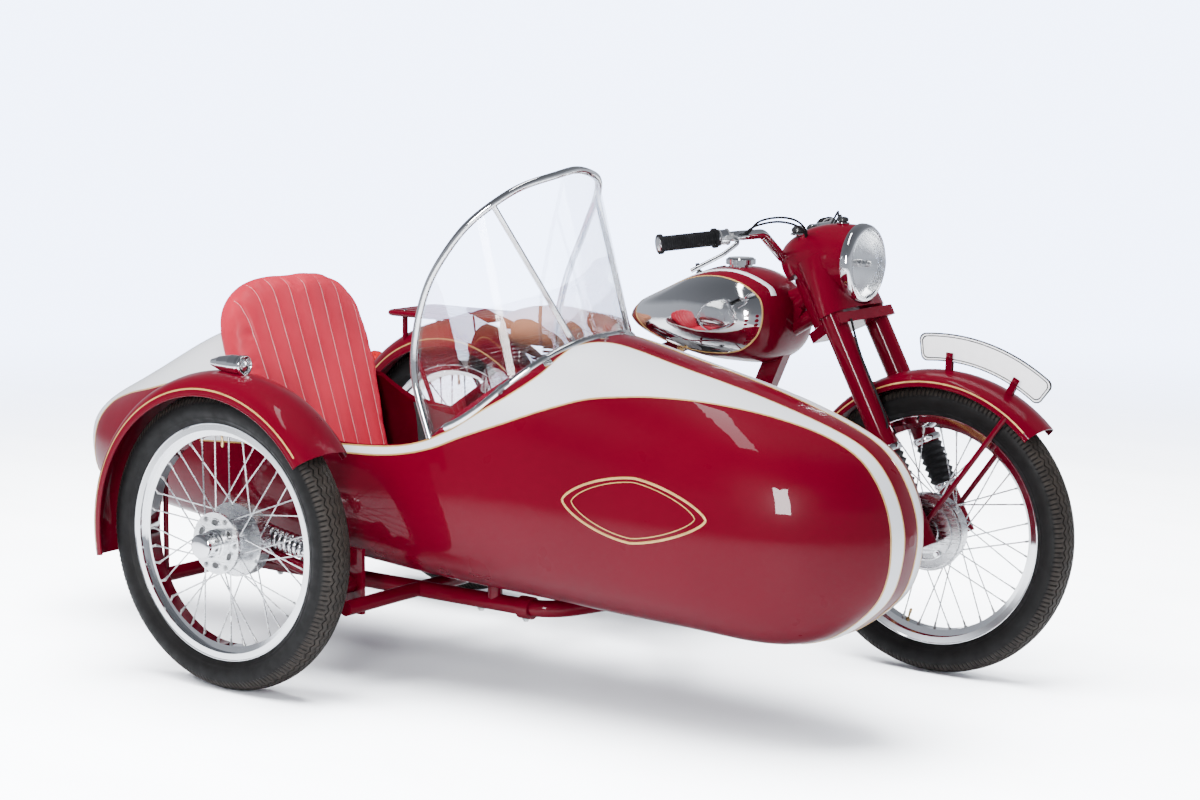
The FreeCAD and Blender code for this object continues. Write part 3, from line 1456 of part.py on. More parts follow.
def sidecar_chassis(outer):
    """Two long tubes under the hull, tied across, with arms out to the wheel."""
    outer_rear = point(chassis_rear_x, chassis_outer_y, chassis_z)
    outer_front = point(chassis_front_x, chassis_outer_y, chassis_z)
    inner_rear = point(chassis_rear_x, chassis_inner_y, chassis_z)
    inner_front = point(chassis_front_x + chassis_bend, chassis_inner_y, chassis_z)
    strut_foot = inner_front + leftward * chassis_bend
    parts = [tube([outer_rear, outer_front, inner_front, strut_foot], chassis_radius, chassis_bend),
             rod(inner_rear, inner_front, inner_tube_radius)]
    for x in (chassis_rear_x + guard_post_inset, guard_post_front_x):
        arm_end = point(x, -sidecar_track + side_guard_half_width - stay_radius, chassis_z)
        parts.append(rod(point(x, chassis_inner_y, chassis_z), arm_end, cross_tube_radius))
    half = side_bracket_length / 2
    plate_low = point(side_bracket_x - half, side_bracket_y - side_bracket_thickness,
                      chassis_z - side_bracket_drop)
    parts.append(box(plate_low, plate_low + point(side_bracket_length, side_bracket_thickness,
                                                  side_bracket_drop + side_bracket_height)))
    cup = plate_low + point(0, -spring_radius * 2, side_bracket_drop + side_bracket_height - spring_radius * 2)
    parts.append(box(cup, cup + point(side_bracket_thickness, spring_radius * 2 + side_bracket_thickness,
                                      spring_radius * 2)))
    clamp = point(chassis_front_x - chassis_bend * 0.6, chassis_outer_y, chassis_z)
    parts.append(rod(clamp - forward * clamp_width / 2, clamp + forward * clamp_width / 2, clamp_radius))
    for x in (chassis_rear_x + guard_post_inset, chassis_front_x - chassis_bend * 1.5):
        for y in (chassis_outer_y, chassis_inner_y):
            foot = point(x, y, chassis_z)
            parts.append(rod(foot, foot + upward * hull_bottom_drop, body_mount_radius))
    return biggest(joined(parts).cut(outer))


def arm_y():
    return side_bracket_y - side_bracket_thickness - spring_radius


def trailing_arm():
    """The arm that carries the sidecar wheel's stub axle."""
    y = arm_y()
    pivot = point(side_bracket_x, y, arm_pivot_z)
    half = leftward * spring_radius
    heel = point(sidecar_lead, y, tyre_radius - arm_drop)
    eye = point(sidecar_lead, y, tyre_radius)
    axle_end = point(sidecar_lead, -sidecar_track - hub_half_width - axle_nut_width, tyre_radius)
    cap = axle_end + leftward * (axle_nut_width - running_gap)
    return joined([rod(pivot - half, pivot + half, arm_radius * 1.3),
                   rod(pivot, heel, arm_radius),
                   rod(eye - half, eye + half, arm_radius * 1.4),
                   bar_between(eye, heel, arm_radius * 2, arm_radius * 2, leftward),
                   rod(eye, axle_end, axle_radius),
                   rod(cap, axle_end - leftward * side_cap_length, side_cap_radius)])


def coil_spring():
    """The level spring ahead of the axle, drawn as a folded sleeve."""
    y = arm_y()
    start = point(sidecar_lead + arm_radius * 1.4 + running_gap, y, tyre_radius)
    end = point(side_bracket_x - side_bracket_length / 2 - spring_wire_radius, y,
                chassis_z + side_bracket_height - spring_radius)
    along = end - start
    pitch = along.Length / spring_turn_count
    core = spring_radius - spring_wire_radius * 2
    profile = [(core, 0)]
    for i in range(spring_turn_count):
        profile.append((spring_radius - spring_wire_radius, pitch * i))
        profile.append((spring_radius, pitch * (i + 0.5)))
    profile += [(spring_radius - spring_wire_radius, along.Length), (core, along.Length)]
    return turned(profile, start, along)


def coupling_struts(others):
    """The four links between the sidecar chassis and the motorcycle."""
    foot = point(chassis_front_x + chassis_bend, chassis_inner_y + chassis_bend, chassis_z)
    top = point(down_tube_top_x, 0, down_tube_top_z)
    heel = point(down_tube_foot_x, 0, down_tube_foot_z)
    front_high = heel + (top - heel) * front_strut_share
    hip = cradle_point(cradle_rear_x + overrun, -1)
    crown = point(seat_node_x, -frame_tube_radius, seat_node_z)
    rear_high = hip + (crown - hip) * rear_strut_share
    inner = point(guard_post_front_x, chassis_inner_y, chassis_z)
    ends = [(foot, cradle_point(cradle_front_x - frame_tube_radius, -1)),
            (point(rear_strut_x, chassis_inner_y, chassis_z),
             cradle_point(cradle_rear_x + frame_tube_radius, -1)),
            (point(front_strut_x, chassis_inner_y, chassis_z), front_high),
            (inner + forward * strut_offset, rear_high)]
    links = []
    for start, end in ends:
        links.append(biggest(rod(start, end, strut_radius).cut(others)))
    return Part.makeCompound(links)


def save_steering():
    yokes = fork_yokes()
    shell = headlamp_shell(yokes)
    save("fork_yokes", yokes)
    save("fork_legs", fork_legs())
    save("fork_gaiters", fork_gaiters())
    save("front_axle", front_axle_bolt())
    save("front_brake_plate", brake_plate(front_axle, -1))
    save("headlamp_shell", shell)
    save("headlamp_rim", headlamp_rim())
    save("headlamp_lens", headlamp_lens())
    save("handlebar", handlebar(shell))
    save("grips", grips())
    save("levers", levers())
    save("front_mudguard", front_mudguard())
    save("front_plate", front_plate())


def save_motorcycle():
    bike_frame = frame()
    plungers = rear_plungers(bike_frame)
    barrels = cylinders()
    tank = fuel_tank(bike_frame)
    seat = saddle()
    springs = saddle_springs(bike_frame, seat)
    boxes = side_boxes(bike_frame)
    guard = rear_mudguard([plungers, bike_frame, springs, boxes])
    pegs = footrests(bike_frame)
    save("frame", bike_frame)
    save("rear_plungers", plungers)
    save("crankcase", crankcase(bike_frame))
    save("cylinders", barrels)
    save("cylinder_heads", cylinder_heads())
    save("carburettor", carburettor(barrels))
    save("exhaust_right", exhaust(-1, barrels))
    save("exhaust_left", exhaust(1, barrels))
    save("fuel_tank", tank)
    save("tank_cap", tank_cap(tank))
    save("saddle", seat)
    save("saddle_springs", springs)
    save("rear_mudguard", guard)
    save("luggage_rack", luggage_rack(guard))
    save("rear_plate", rear_plate(guard))
    save("tail_lamp", tail_lamp(guard))
    save("side_boxes", boxes)
    save("footrests", pegs)
    save("brake_pedal", brake_pedal(pegs))
    save("kick_lever", kick_lever())
    save("centre_stand", centre_stand())
    save("rear_chain", rear_chain())
    save("rear_sprocket", rear_sprocket())
    return bike_frame


def save_sidecar(bike_frame):
    outer, inner, nose, tub, tail = hull_parts()
    reach = hull_half_width + overrun
    cowl = outer.common(box(point(screen_middle_x - overrun * 2, hull_middle_y - reach, hull_middle_z),
                            point(hull_nose_x, hull_middle_y + reach, screen_top_z)))
    glass, bars = windscreen(cowl)
    chassis = sidecar_chassis(outer)
    save("sidecar_nose", nose)
    save("sidecar_tub", tub)
    save("sidecar_tail", tail)
    save("windscreen_glass", glass)
    save("windscreen_frame", bars)
    save("seat_back", seat_back())
    save("seat_cushion", seat_cushion())
    save("seat_base", seat_base(inner))
    save("sidecar_mudguard", side_mudguard())
    save("marker_lamp", marker_lamp())
    save("sidecar_chassis", chassis)
    save("trailing_arm", trailing_arm())
    save("coil_spring", coil_spring())
    save("coupling_struts", coupling_struts([chassis, bike_frame]))


def main():
    os.makedirs("parts", exist_ok=True)
    wheel("front", front_axle, -1)
    wheel("rear", rear_axle, 1)
    wheel("sidecar", side_axle, 1)
    save_steering()
    save_sidecar(save_motorcycle())


main()
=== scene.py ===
import math

import bmesh
import bpy
import numpy as np
from bpy.props import FloatProperty, FloatVectorProperty, IntProperty, PointerProperty
from mathutils import Matrix, Vector
from mathutils.bvhtree import BVHTree
from mathutils.geometry import barycentric_transform


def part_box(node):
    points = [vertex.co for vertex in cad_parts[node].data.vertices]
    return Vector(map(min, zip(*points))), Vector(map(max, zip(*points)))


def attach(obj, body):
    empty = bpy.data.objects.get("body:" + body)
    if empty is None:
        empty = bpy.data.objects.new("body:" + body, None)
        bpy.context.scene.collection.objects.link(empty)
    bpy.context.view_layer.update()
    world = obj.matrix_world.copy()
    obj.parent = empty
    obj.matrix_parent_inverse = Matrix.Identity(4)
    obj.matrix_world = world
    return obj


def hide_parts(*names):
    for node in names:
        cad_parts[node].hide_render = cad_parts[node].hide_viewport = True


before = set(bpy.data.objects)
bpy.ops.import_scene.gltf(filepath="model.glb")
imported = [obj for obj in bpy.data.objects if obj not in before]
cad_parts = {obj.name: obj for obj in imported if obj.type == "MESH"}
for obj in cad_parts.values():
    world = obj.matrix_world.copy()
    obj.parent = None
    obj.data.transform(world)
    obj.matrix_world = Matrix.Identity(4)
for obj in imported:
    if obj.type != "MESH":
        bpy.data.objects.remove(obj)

bl_info = {
    "name": "Sidecar outfit dresser",
    "version": (1, 0, 0),
    "blender": (4, 5, 0),
    "location": "View3D > Sidebar > Outfit",
    "description": "Paint, trim, tyres, upholstery and small parts for a sidecar motorcycle",
    "category": "Object",
}

MM = 0.001
UP = Vector((0, 0, 1))
AHEAD = Vector((1, 0, 0))
LEFT = Vector((0, 1, 0))
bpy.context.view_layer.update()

# Where things are, from the frame


def middle_of(node):
    low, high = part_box(node)
    return (low + high) / 2


REAR_AXLE = middle_of("rear_tyre")
ORIGIN = Vector((REAR_AXLE.x, REAR_AXLE.y, 0))

# Driving sizes in millimetres: the hull's middle plane, the axles, and the fork about its raked head
HULL_Y = -630.0
AXLE_HEIGHT = 322.0
WHEELBASE = 1335.0
FORK_OFFSET = 60.0
LEG_AHEAD = 72.0
LEG_SPREAD = 90.0
RAKE = math.radians(27.6)
STEER_UP = Vector((-math.sin(RAKE), 0, math.cos(RAKE)))


def at(x, y, z):
    """A place given in millimetres from the floor under the rear axle."""
    return ORIGIN + Vector((x, y, z)) * MM


def head_line(z):
    """How far ahead of the rear axle the steering axis is, at a height."""
    return WHEELBASE - FORK_OFFSET / math.cos(RAKE) - (z - AXLE_HEIGHT) * math.tan(RAKE)


def wheel_way(turn):
    """The way out from an axle, turned up from straight ahead."""
    return AHEAD * math.cos(turn) + UP * math.sin(turn)


# Meshes


class Batch:
    """Points and faces of many small shapes that become one mesh."""

    def __init__(self):
        self.points = []
        self.faces = []

    def add(self, points, faces):
        start = len(self.points)
        self.points += [tuple(p) for p in points]
        self.faces += [tuple(start + i for i in face) for face in faces]
        return self


def link_mesh(name, mesh, finish, body, smooth_angle=40):
    piece = bpy.data.objects.new(name, mesh)
    bpy.context.scene.collection.objects.link(piece)
    mesh.materials.append(FINISHES[finish])
    mesh.shade_smooth()
    mesh.set_sharp_from_angle(angle=math.radians(smooth_angle))
    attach(piece, body)
    return piece


def clean_form(form):
    """Join points that fall together and drop faces without width."""
    bmesh.ops.remove_doubles(form, verts=form.verts, dist=1e-6)
    bmesh.ops.dissolve_degenerate(form, edges=form.edges, dist=1e-7)


def add_piece(name, points, faces, finish, body, slot, smooth_angle=40):
    """A new piece from points and faces, cleaned and turned outward."""
    mesh = bpy.data.meshes.new(name)
    mesh.from_pydata([tuple(p) for p in points], [], [tuple(f) for f in faces])
    form = bmesh.new()
    form.from_mesh(mesh)
    clean_form(form)
    bmesh.ops.recalc_face_normals(form, faces=form.faces)
    form.to_mesh(mesh)
    form.free()
    return link_mesh(name, mesh, finish, body, smooth_angle)


def add_batch(name, batch, finish, body, slot, smooth_angle=40):
    return add_piece(name, batch.points, batch.faces, finish, body, slot, smooth_angle)


def grid_faces(rows, columns, loop_rows=False, loop_columns=False):
    faces = []
    for i in range(rows if loop_rows else rows - 1):
        for j in range(columns if loop_columns else columns - 1):
            a, b = i, (i + 1) % rows
            c, d = j, (j + 1) % columns
            faces.append((a * columns + c, a * columns + d, b * columns + d, b * columns + c))
    return faces


def ring_faces(rows, columns, loop_rows=False):
    """Faces between rows of points that each close to a ring."""
    return grid_faces(rows, columns, loop_rows, True)


def lathe(profile, base, axis, steps=32, start=0.0):
    """A profile of radius and height, in millimetres, turned about an axis."""
    axis = Vector(axis).normalized()
    side = axis.orthogonal().normalized()
    other = axis.cross(side)
    points = []
    for radius, height in profile:
        for i in range(steps):
            turn = start + math.tau * i / steps
            out = side * math.cos(turn) + other * math.sin(turn)
            points.append(base + axis * (height * MM) + out * (radius * MM))
    return points, ring_faces(len(profile), steps)


def add_turned(name, profile, base, axis, steps, finish, body, slot, smooth_angle=40):
    """A new piece that is one turned shape."""
    return add_piece(name, *lathe(profile, base, axis, steps), finish, body, slot, smooth_angle)


def pipe(path, radius, sides=10, closed=False):
    """A round bar along a path; the radius is in millimetres, one or one a point."""
    count = len(path)
    radii = radius if isinstance(radius, (list, tuple)) else [radius] * count
    points = []
    normal = None
    for i, place in enumerate(path):
        before = path[i - 1] if i or closed else path[0]
        after = path[(i + 1) % count] if i < count - 1 or closed else path[-1]
        along = (after - before).normalized()
        if normal is None:
            normal = along.orthogonal().normalized()
        normal = (normal - along * normal.dot(along)).normalized()
        side = along.cross(normal)
        for j in range(sides):
            turn = math.tau * j / sides
            points.append(place + (normal * math.cos(turn) + side * math.sin(turn)) * (radii[i] * MM))
    faces = ring_faces(count, sides, loop_rows=closed)
    if not closed:
        faces.append(tuple(range(sides)))
        faces.append(tuple(range((count - 1) * sides, count * sides)))
    return points, faces


def helix(start, end, radius, wire, turns, steps=20, sides=8, flare=0.0):
    """A wound spring between two places, in millimetres for its radii."""
    along = end - start
    axis = along.normalized()
    side = axis.orthogonal().normalized()
    other = axis.cross(side)
    path = []
    count = int(turns * steps)
    for i in range(count + 1):
        share = i / count
        turn = math.tau * turns * share
        size = (radius + flare * abs(share - 0.5) * 2) * MM
        path.append(start + along * share + (side * math.cos(turn) + other * math.sin(turn)) * size)
    return pipe(path, wire, sides)


def bolt(base, axis, radius, height, washer=1.5):
    """A six-sided head with a chamfer, on a round washer."""
    batch = Batch()
    disc = radius * 1.45
    batch.add(*lathe([(0, 0), (disc, 0), (disc, washer), (0, washer)], base, axis, 20))
    head = base + Vector(axis).normalized() * (washer * MM)
    profile = [(radius, 0), (radius, height * 0.8), (radius * 0.86, height), (0, height)]
    batch.add(*lathe(profile, head, axis, 6))
    return batch.points, batch.faces


def dome(base, axis, radius, height, steps=20):
    """A round head, as on a rivet, a stud or a coach bolt."""
    turns = [i * math.pi / 12 for i in range(7)]
    profile = [(radius * math.cos(turn), height * math.sin(turn)) for turn in turns]
    return lathe(profile, base, axis, steps)


def block(middle, half, turn=None):
    """A box with softened edges; half sizes are in millimetres."""
    form = bmesh.new()
    bmesh.ops.create_cube(form, size=2)
    for vertex in form.verts:
        vertex.co = Vector([c * h * MM for c, h in zip(vertex.co, half)])
    bmesh.ops.bevel(form, geom=form.edges[:], offset=min(half) * 0.35 * MM, segments=2, affect="EDGES")
    turned = (turn or Matrix.Identity(3)).to_4x4()
    points = [middle + turned @ vertex.co for vertex in form.verts]
    faces = [[vertex.index for vertex in face.verts] for face in form.faces]
    form.free()
    return points, faces


def smooth_line(places, steps):
    """A curve through places, with a number of steps in each span."""
    line = []
    last = len(places) - 1
    for i in range(last):
        a, b, c, d = (places[max(i - 1, 0)], places[i], places[i + 1], places[min(i + 2, last)])
        for k in range(steps):
            t = k / steps
            line.append((b * 2 + (c - a) * t + (a * 2 - b * 5 + c * 4 - d) * t ** 2
                         + (b * 3 - a - c * 3 + d) * t ** 3) / 2)
    line.append(places[-1])
    return line


def node_tree(name):
    """A node's faces, to cast rays at."""
    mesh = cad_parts[name].data
    return BVHTree.FromPolygons([v.co.copy() for v in mesh.vertices],
                                [tuple(p.vertices) for p in mesh.polygons])


def seated(tree, start, way):
    """Where a ray meets a node, with the face's normal turned back along the ray."""
    hit, normal, _, _ = tree.ray_cast(start, way)
    if hit is None:
        return None, None
    return hit, normal if normal.dot(way) < 0 else -normal


class Skin:
    """The outer face of some nodes round an axis, to lay paint lines and trim on."""

    def __init__(self, names, axis_start, axis_end):
        self.start = axis_start
        self.along = axis_end - axis_start
        self.places = []
        self.normals = []
        corners = []
        for name in names:
            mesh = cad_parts[name].data
            for face in mesh.polygons:
                corner = []
                for loop in face.loop_indices:
                    corner.append(len(self.places))
                    self.places.append(mesh.vertices[mesh.loops[loop].vertex_index].co.copy())
                    self.normals.append(mesh.corner_normals[loop].vector.copy())
                corners.append(corner)
        self.corners = corners
        self.tree = BVHTree.FromPolygons(self.places, corners)

    def touch(self, place, lift=0.0):
        """Where the line from the axis through a place leaves the skin, and its normal."""
        share = (place - self.start).dot(self.along) / self.along.length_squared
        foot = self.start + self.along * min(max(share, 0), 1)
        away = (place - foot).normalized()
        hit, normal, index, _ = self.tree.ray_cast(foot + away * 2, -away)
        if hit is None:
            return place, away
        corner = self.corners[index]
        if len(corner) == 3:
            a, b, c = (self.places[i] for i in corner)
            na, nb, nc = (self.normals[i] for i in corner)
            normal = barycentric_transform(hit, a, b, c, na, nb, nc).normalized()
        return hit + normal * (lift * MM), normal


def laid_panel(skin, low_line, high_line, across, lift):
    """A thin sheet of paint or plate between two lines, on a skin."""
    points = []
    for a, b in zip(low_line, high_line):
        for j in range(across + 1):
            points.append(skin.touch(a.lerp(b, j / across), lift)[0])
    return points, grid_faces(len(low_line), across + 1)


def laid_ribbon(skin, line, width, lift, rise, closed=False):
    """A narrow line that stands a little proud of a skin."""
    landed = [skin.touch(place, lift) for place in line]
    count = len(landed)
    points = []
    for i, (place, normal) in enumerate(landed):
        before = landed[i - 1][0] if i or closed else landed[0][0]
        after = landed[(i + 1) % count][0] if i < count - 1 or closed else landed[-1][0]
        side = (after - before).cross(normal).normalized() * (width / 2 * MM)
        for share, height in ((-1, -lift), (-0.8, rise * 0.7), (0, rise), (0.8, rise * 0.7), (1, -lift)):
            points.append(place + side * share + normal * (height * MM))
    return points, grid_faces(count, 5, loop_rows=closed)


# Finishes


def shader(name, colour, roughness, metallic=0.0, **sockets):
    """A material whose plain values are set on its own surface shader."""
    material = bpy.data.materials.new(name)
    material.use_nodes = True
    surface = material.node_tree.nodes["Principled BSDF"]
    surface.inputs["Base Color"].default_value = (*colour, 1)
    surface.inputs["Roughness"].default_value = roughness
    surface.inputs["Metallic"].default_value = metallic
    for socket, value in sockets.items():
        surface.inputs[socket.replace("_", " ")].default_value = value
    return material


def grain(material, scale, detail=3.0, stretch=(1, 1, 1), kind="ShaderNodeTexNoise"):
    """A procedural pattern in the object's own space."""
    nodes, links = material.node_tree.nodes, material.node_tree.links
    place = nodes.new("ShaderNodeTexCoord")
    mapping = nodes.new("ShaderNodeMapping")
    mapping.inputs["Scale"].default_value = stretch
    pattern = nodes.new(kind)
    pattern.inputs["Scale"].default_value = scale
    if "Detail" in pattern.inputs:
        pattern.inputs["Detail"].default_value = detail
    links.new(place.outputs["Object"], mapping.inputs["Vector"])
    links.new(mapping.outputs["Vector"], pattern.inputs["Vector"])
    return pattern.outputs["Distance" if kind == "ShaderNodeTexVoronoi" else "Fac"]


def tint(material, pattern, low_colour, high_colour, low=0.35, high=0.65):
    """Two tones of colour that follow a pattern."""
    nodes, links = material.node_tree.nodes, material.node_tree.links
    ramp = nodes.new("ShaderNodeValToRGB")
    ramp.color_ramp.elements[0].position = low
    ramp.color_ramp.elements[0].color = (*low_colour, 1)
    ramp.color_ramp.elements[1].position = high
    ramp.color_ramp.elements[1].color = (*high_colour, 1)
    links.new(pattern, ramp.inputs["Fac"])
    links.new(ramp.outputs["Color"], nodes["Principled BSDF"].inputs["Base Color"])
    return ramp.outputs["Color"]


def feed(tree, socket, value):
    """Give a socket a plain value, or the output of another node."""
    if isinstance(value, bpy.types.NodeSocket):
        tree.links.new(value, socket)
    else:
        socket.default_value = value


def math_node(tree, operation, first, second):
    node = tree.nodes.new("ShaderNodeMath")
    node.operation = operation
    feed(tree, node.inputs[0], first)
    feed(tree, node.inputs[1], second)
    return node.outputs["Value"]


def mix_colour(tree, factor, first, second, blend="MIX"):
    mix = tree.nodes.new("ShaderNodeMix")
    mix.data_type = "RGBA"
    mix.blend_type = blend
    for socket, value in (("Factor", factor), ("A", first), ("B", second)):
        feed(tree, mix.inputs[socket], value)
    return mix.outputs["Result"]


def map_range(tree, value, start, end, low, high, kind="LINEAR"):
    span = tree.nodes.new("ShaderNodeMapRange")
    span.interpolation_type = kind
    for socket, bound in (("From Min", start), ("From Max", end), ("To Min", low), ("To Max", high)):
        span.inputs[socket].default_value = bound
    tree.links.new(value, span.inputs["Value"])
    return span.outputs["Result"]


def polish(material, pattern, low, high):
    """Roughness that follows a pattern, as wiped or worn places have."""
    tree = material.node_tree
    rough = map_range(tree, pattern, 0.3, 0.7, low, high)
    tree.links.new(rough, tree.nodes["Principled BSDF"].inputs["Roughness"])


def relief(material, pattern, depth, strength=0.5):
    """Fine relief from a pattern; the depth is in millimetres."""
    nodes, links = material.node_tree.nodes, material.node_tree.links
    bump = nodes.new("ShaderNodeBump")
    bump.inputs["Strength"].default_value = strength
    bump.inputs["Distance"].default_value = depth * MM
    surface = nodes["Principled BSDF"]
    before = surface.inputs["Normal"].links
    if before:
        links.new(before[0].from_socket, bump.inputs["Normal"])
    links.new(pattern, bump.inputs["Height"])
    links.new(bump.outputs["Normal"], surface.inputs["Normal"])


def darker(colour, share):
    return tuple(c * share for c in colour)


def stove_enamel(name, colour, coat=0.5):
    """Deep glossy paint with a faint waviness and slight change of tone."""
    material = shader(name, colour, 0.34, Specular_IOR_Level=0.03, Coat_Weight=coat,
                      Coat_Roughness=0.02, Coat_IOR=1.33)
    tint(material, grain(material, 2.2, 2), darker(colour, 0.86), colour)
    polish(material, grain(material, 9, 4), 0.26, 0.38)
    relief(material, grain(material, 260, 2), 0.012, 0.25)
    return material


def silver_paint(name, colour):
    """Silver paint with fine flake under lacquer."""
    material = shader(name, colour, 0.34, 0.12, Coat_Weight=0.6, Coat_Roughness=0.04)
    tint(material, grain(material, 900, 2), darker(colour, 0.92), colour)
    polish(material, grain(material, 6, 3), 0.28, 0.4)
    relief(material, grain(material, 1400, 2), 0.01, 0.15)
    return material


def bright_chrome(name, colour):
    """Chromium plate with wiped smudges."""
    material = shader(name, colour, 0.06, 1.0)
    tint(material, grain(material, 5, 3), darker(colour, 0.94), colour)
    polish(material, grain(material, 14, 5), 0.035, 0.1)
    relief(material, grain(material, 45, 2), 0.02, 0.08)
    return material


def polished_alloy(name, colour):
    """Hand polished aluminium with fine scratches."""
    material = shader(name, colour, 0.22, 1.0)
    tint(material, grain(material, 12, 5), darker(colour, 0.82), colour)
    polish(material, grain(material, 30, 6, (1, 1, 6)), 0.16, 0.34)
    relief(material, grain(material, 700, 3, (1, 1, 0.1)), 0.02, 0.2)
    return material


def cast_alloy(name, colour):
    """Sand cast aluminium, grey and slightly rough."""
    material = shader(name, colour, 0.5, 0.85)
    tint(material, grain(material, 16, 6), darker(colour, 0.66), colour)
    polish(material, grain(material, 60, 4), 0.4, 0.62)
    relief(material, grain(material, 900, 4), 0.12, 0.5)
    return material


def cast_iron(name, colour):
    """Heat-blackened cast iron for the finned barrels."""
    material = shader(name, colour, 0.55, 0.4)
    tint(material, grain(material, 25, 5), darker(colour, 0.55), colour)
    relief(material, grain(material, 700, 4), 0.15, 0.5)
    return material


def black_rubber(name, colour):
    """Moulded rubber with a dry bloom."""
    material = shader(name, colour, 0.6, Specular_IOR_Level=0.18)
    tint(material, grain(material, 22, 5), colour, darker(colour, 1.9))
    polish(material, grain(material, 45, 4), 0.46, 0.7)
    relief(material, grain(material, 1100, 3), 0.05, 0.35)
    return material


def tyre_rubber(name, colour, dust):
    """Tyre rubber whose tread has picked up road dust."""
    material = black_rubber(name, colour)
    tree = material.node_tree
    surface = tree.nodes["Principled BSDF"]
    worn = tree.nodes.new("ShaderNodeAttribute")
    worn.attribute_name = "tread_dust"
    amount = math_node(tree, "MULTIPLY", worn.outputs["Fac"], grain(material, 60, 5))
    clean = surface.inputs["Base Color"].links[0].from_socket
    tree.links.new(mix_colour(tree, amount, clean, (*dust, 1)), surface.inputs["Base Color"])
    return material


def dyed_leather(name, colour, deep):
    """Dyed hide with pores, soft creases and worn sheen."""
    material = shader(name, colour, 0.42, Specular_IOR_Level=0.22, Coat_Weight=0.05, Coat_Roughness=0.3)
    tint(material, grain(material, 7, 6), deep, colour, 0.3, 0.62)
    polish(material, grain(material, 18, 5), 0.34, 0.55)
    relief(material, grain(material, 620, kind="ShaderNodeTexVoronoi"), 0.16, 0.35)
    relief(material, grain(material, 40, 6, (1, 1, 0.5)), 0.5, 0.25)
    return material


def woven_cloth(name, colour):
    """Black lining cloth with a visible weave."""
    material = shader(name, colour, 0.9, Sheen_Weight=0.3)
    tint(material, grain(material, 900, 2), darker(colour, 0.6), colour)
    relief(material, grain(material, 1000, 1, (1, 1, 0.4)), 0.4, 0.6)
    relief(material, grain(material, 1000, 1, (0.4, 1, 1)), 0.4, 0.6)
    return material


def varnished_board(name, colour):
    """Plain plywood under the seat, with long grain."""
    material = shader(name, colour, 0.5)
    tint(material, grain(material, 30, 6, (0.15, 1, 1)), darker(colour, 0.5), colour)
    relief(material, grain(material, 200, 4, (0.1, 1, 1)), 0.1, 0.4)
    return material


def plain_glass(name, colour, roughness, alpha):
    """Clear sheet or lens glass with the faintest ripple."""
    material = shader(name, colour, roughness, Transmission_Weight=1.0, IOR=1.45, Alpha=alpha)
    relief(material, grain(material, 18, 2), 0.05, 0.05)
    return material


def coloured_lens(name, colour):
    """Moulded tail lamp lens with ribs."""
    material = shader(name, colour, 0.1, Transmission_Weight=0.35, IOR=1.49)
    tint(material, grain(material, 30, 3), darker(colour, 0.7), colour)
    relief(material, grain(material, 260, kind="ShaderNodeTexVoronoi"), 0.6, 0.5)
    return material


def line_paint(name, colour, metallic=0.0, wear=0.72):
    """Brushed-on lining paint that varies along the stroke."""
    material = shader(name, colour, 0.4, metallic, Coat_Weight=0.5, Coat_Roughness=0.08)
    tint(material, grain(material, 60, 5), darker(colour, wear), colour)
    relief(material, grain(material, 500, 3), 0.03, 0.3)
    return material


def oiled_steel(name, colour):
    """Oiled steel or brass for chain, studs, nipples and bolts."""
    material = shader(name, colour, 0.36, 1.0)
    tint(material, grain(material, 80, 5), darker(colour, 0.5), colour)
    polish(material, grain(material, 120, 4), 0.24, 0.5)
    relief(material, grain(material, 900, 3), 0.03, 0.3)
    return material


def seen_directly(tree):
    """One for what is seen straight or through glass, and zero for bounced light."""
    path = tree.nodes.new("ShaderNodeLightPath")
    unmirrored = math_node(tree, "LESS_THAN", path.outputs["Glossy Depth"], 0.5)
    through = math_node(tree, "MULTIPLY", path.outputs["Is Transmission Ray"], unmirrored)
    return math_node(tree, "MAXIMUM", path.outputs["Is Camera Ray"], through)


def studio_floor(name, colour, radius):
    """A pale floor that fades out far from the machine."""
    material = shader(name, colour, 0.55, Specular_IOR_Level=0.2)
    tree = material.node_tree
    surface = tree.nodes["Principled BSDF"]
    pale = tint(material, grain(material, 0.9, 4, (1, 3, 1)), darker(colour, 0.93), colour, 0.3, 0.6)
    seen = mix_colour(tree, seen_directly(tree), (*darker(colour, 0.3), 1), pale)
    tree.links.new(seen, surface.inputs["Base Color"])
    place = tree.nodes.new("ShaderNodeTexCoord")
    length = tree.nodes.new("ShaderNodeVectorMath")
    length.operation = "LENGTH"
    tree.links.new(place.outputs["Object"], length.inputs[0])
    fade = map_range(tree, length.outputs["Value"], radius * 0.10, radius * 0.30, 1, 0, "SMOOTHSTEP")
    tree.links.new(fade, surface.inputs["Alpha"])
    return material


# Values that a user can change


def colour_value(name, description, default):
    return FloatVectorProperty(name=name, description=description, default=default,
                               subtype="COLOR", size=3, min=0, max=1)


def number_value(name, description, low, high, default):
    return FloatProperty(name=name, description=description, min=low, max=high, default=default)


def count_value(name, description, low, high, default):
    return IntProperty(name=name, description=description, min=low, max=high, default=default)


class PaintValues(bpy.types.PropertyGroup):
    red: colour_value("Red", "Stove enamel of the machine", (0.082, 0.0002, 0.0065))
    silver: colour_value("Silver", "Bands on the sidecar", (0.62, 0.63, 0.66))
    gold: colour_value("Gold", "Lining paint", (0.52, 0.31, 0.10))
    chrome: colour_value("Chrome", "Plated parts", (0.88, 0.89, 0.91))
    alloy: colour_value("Alloy", "Polished and cast aluminium", (0.84, 0.85, 0.87))
    hide: colour_value("Seat hide", "Leather of the sidecar seat", (0.37, 0.012, 0.030))
    tan: colour_value("Saddle hide", "Leather of the saddle", (0.26, 0.11, 0.062))
    line_width: number_value("Line", "Width of a lining stroke in millimetres", 1, 10, 4.0)
    lift: number_value("Film", "Height of a paint film in millimetres", 0.1, 2, 0.7)


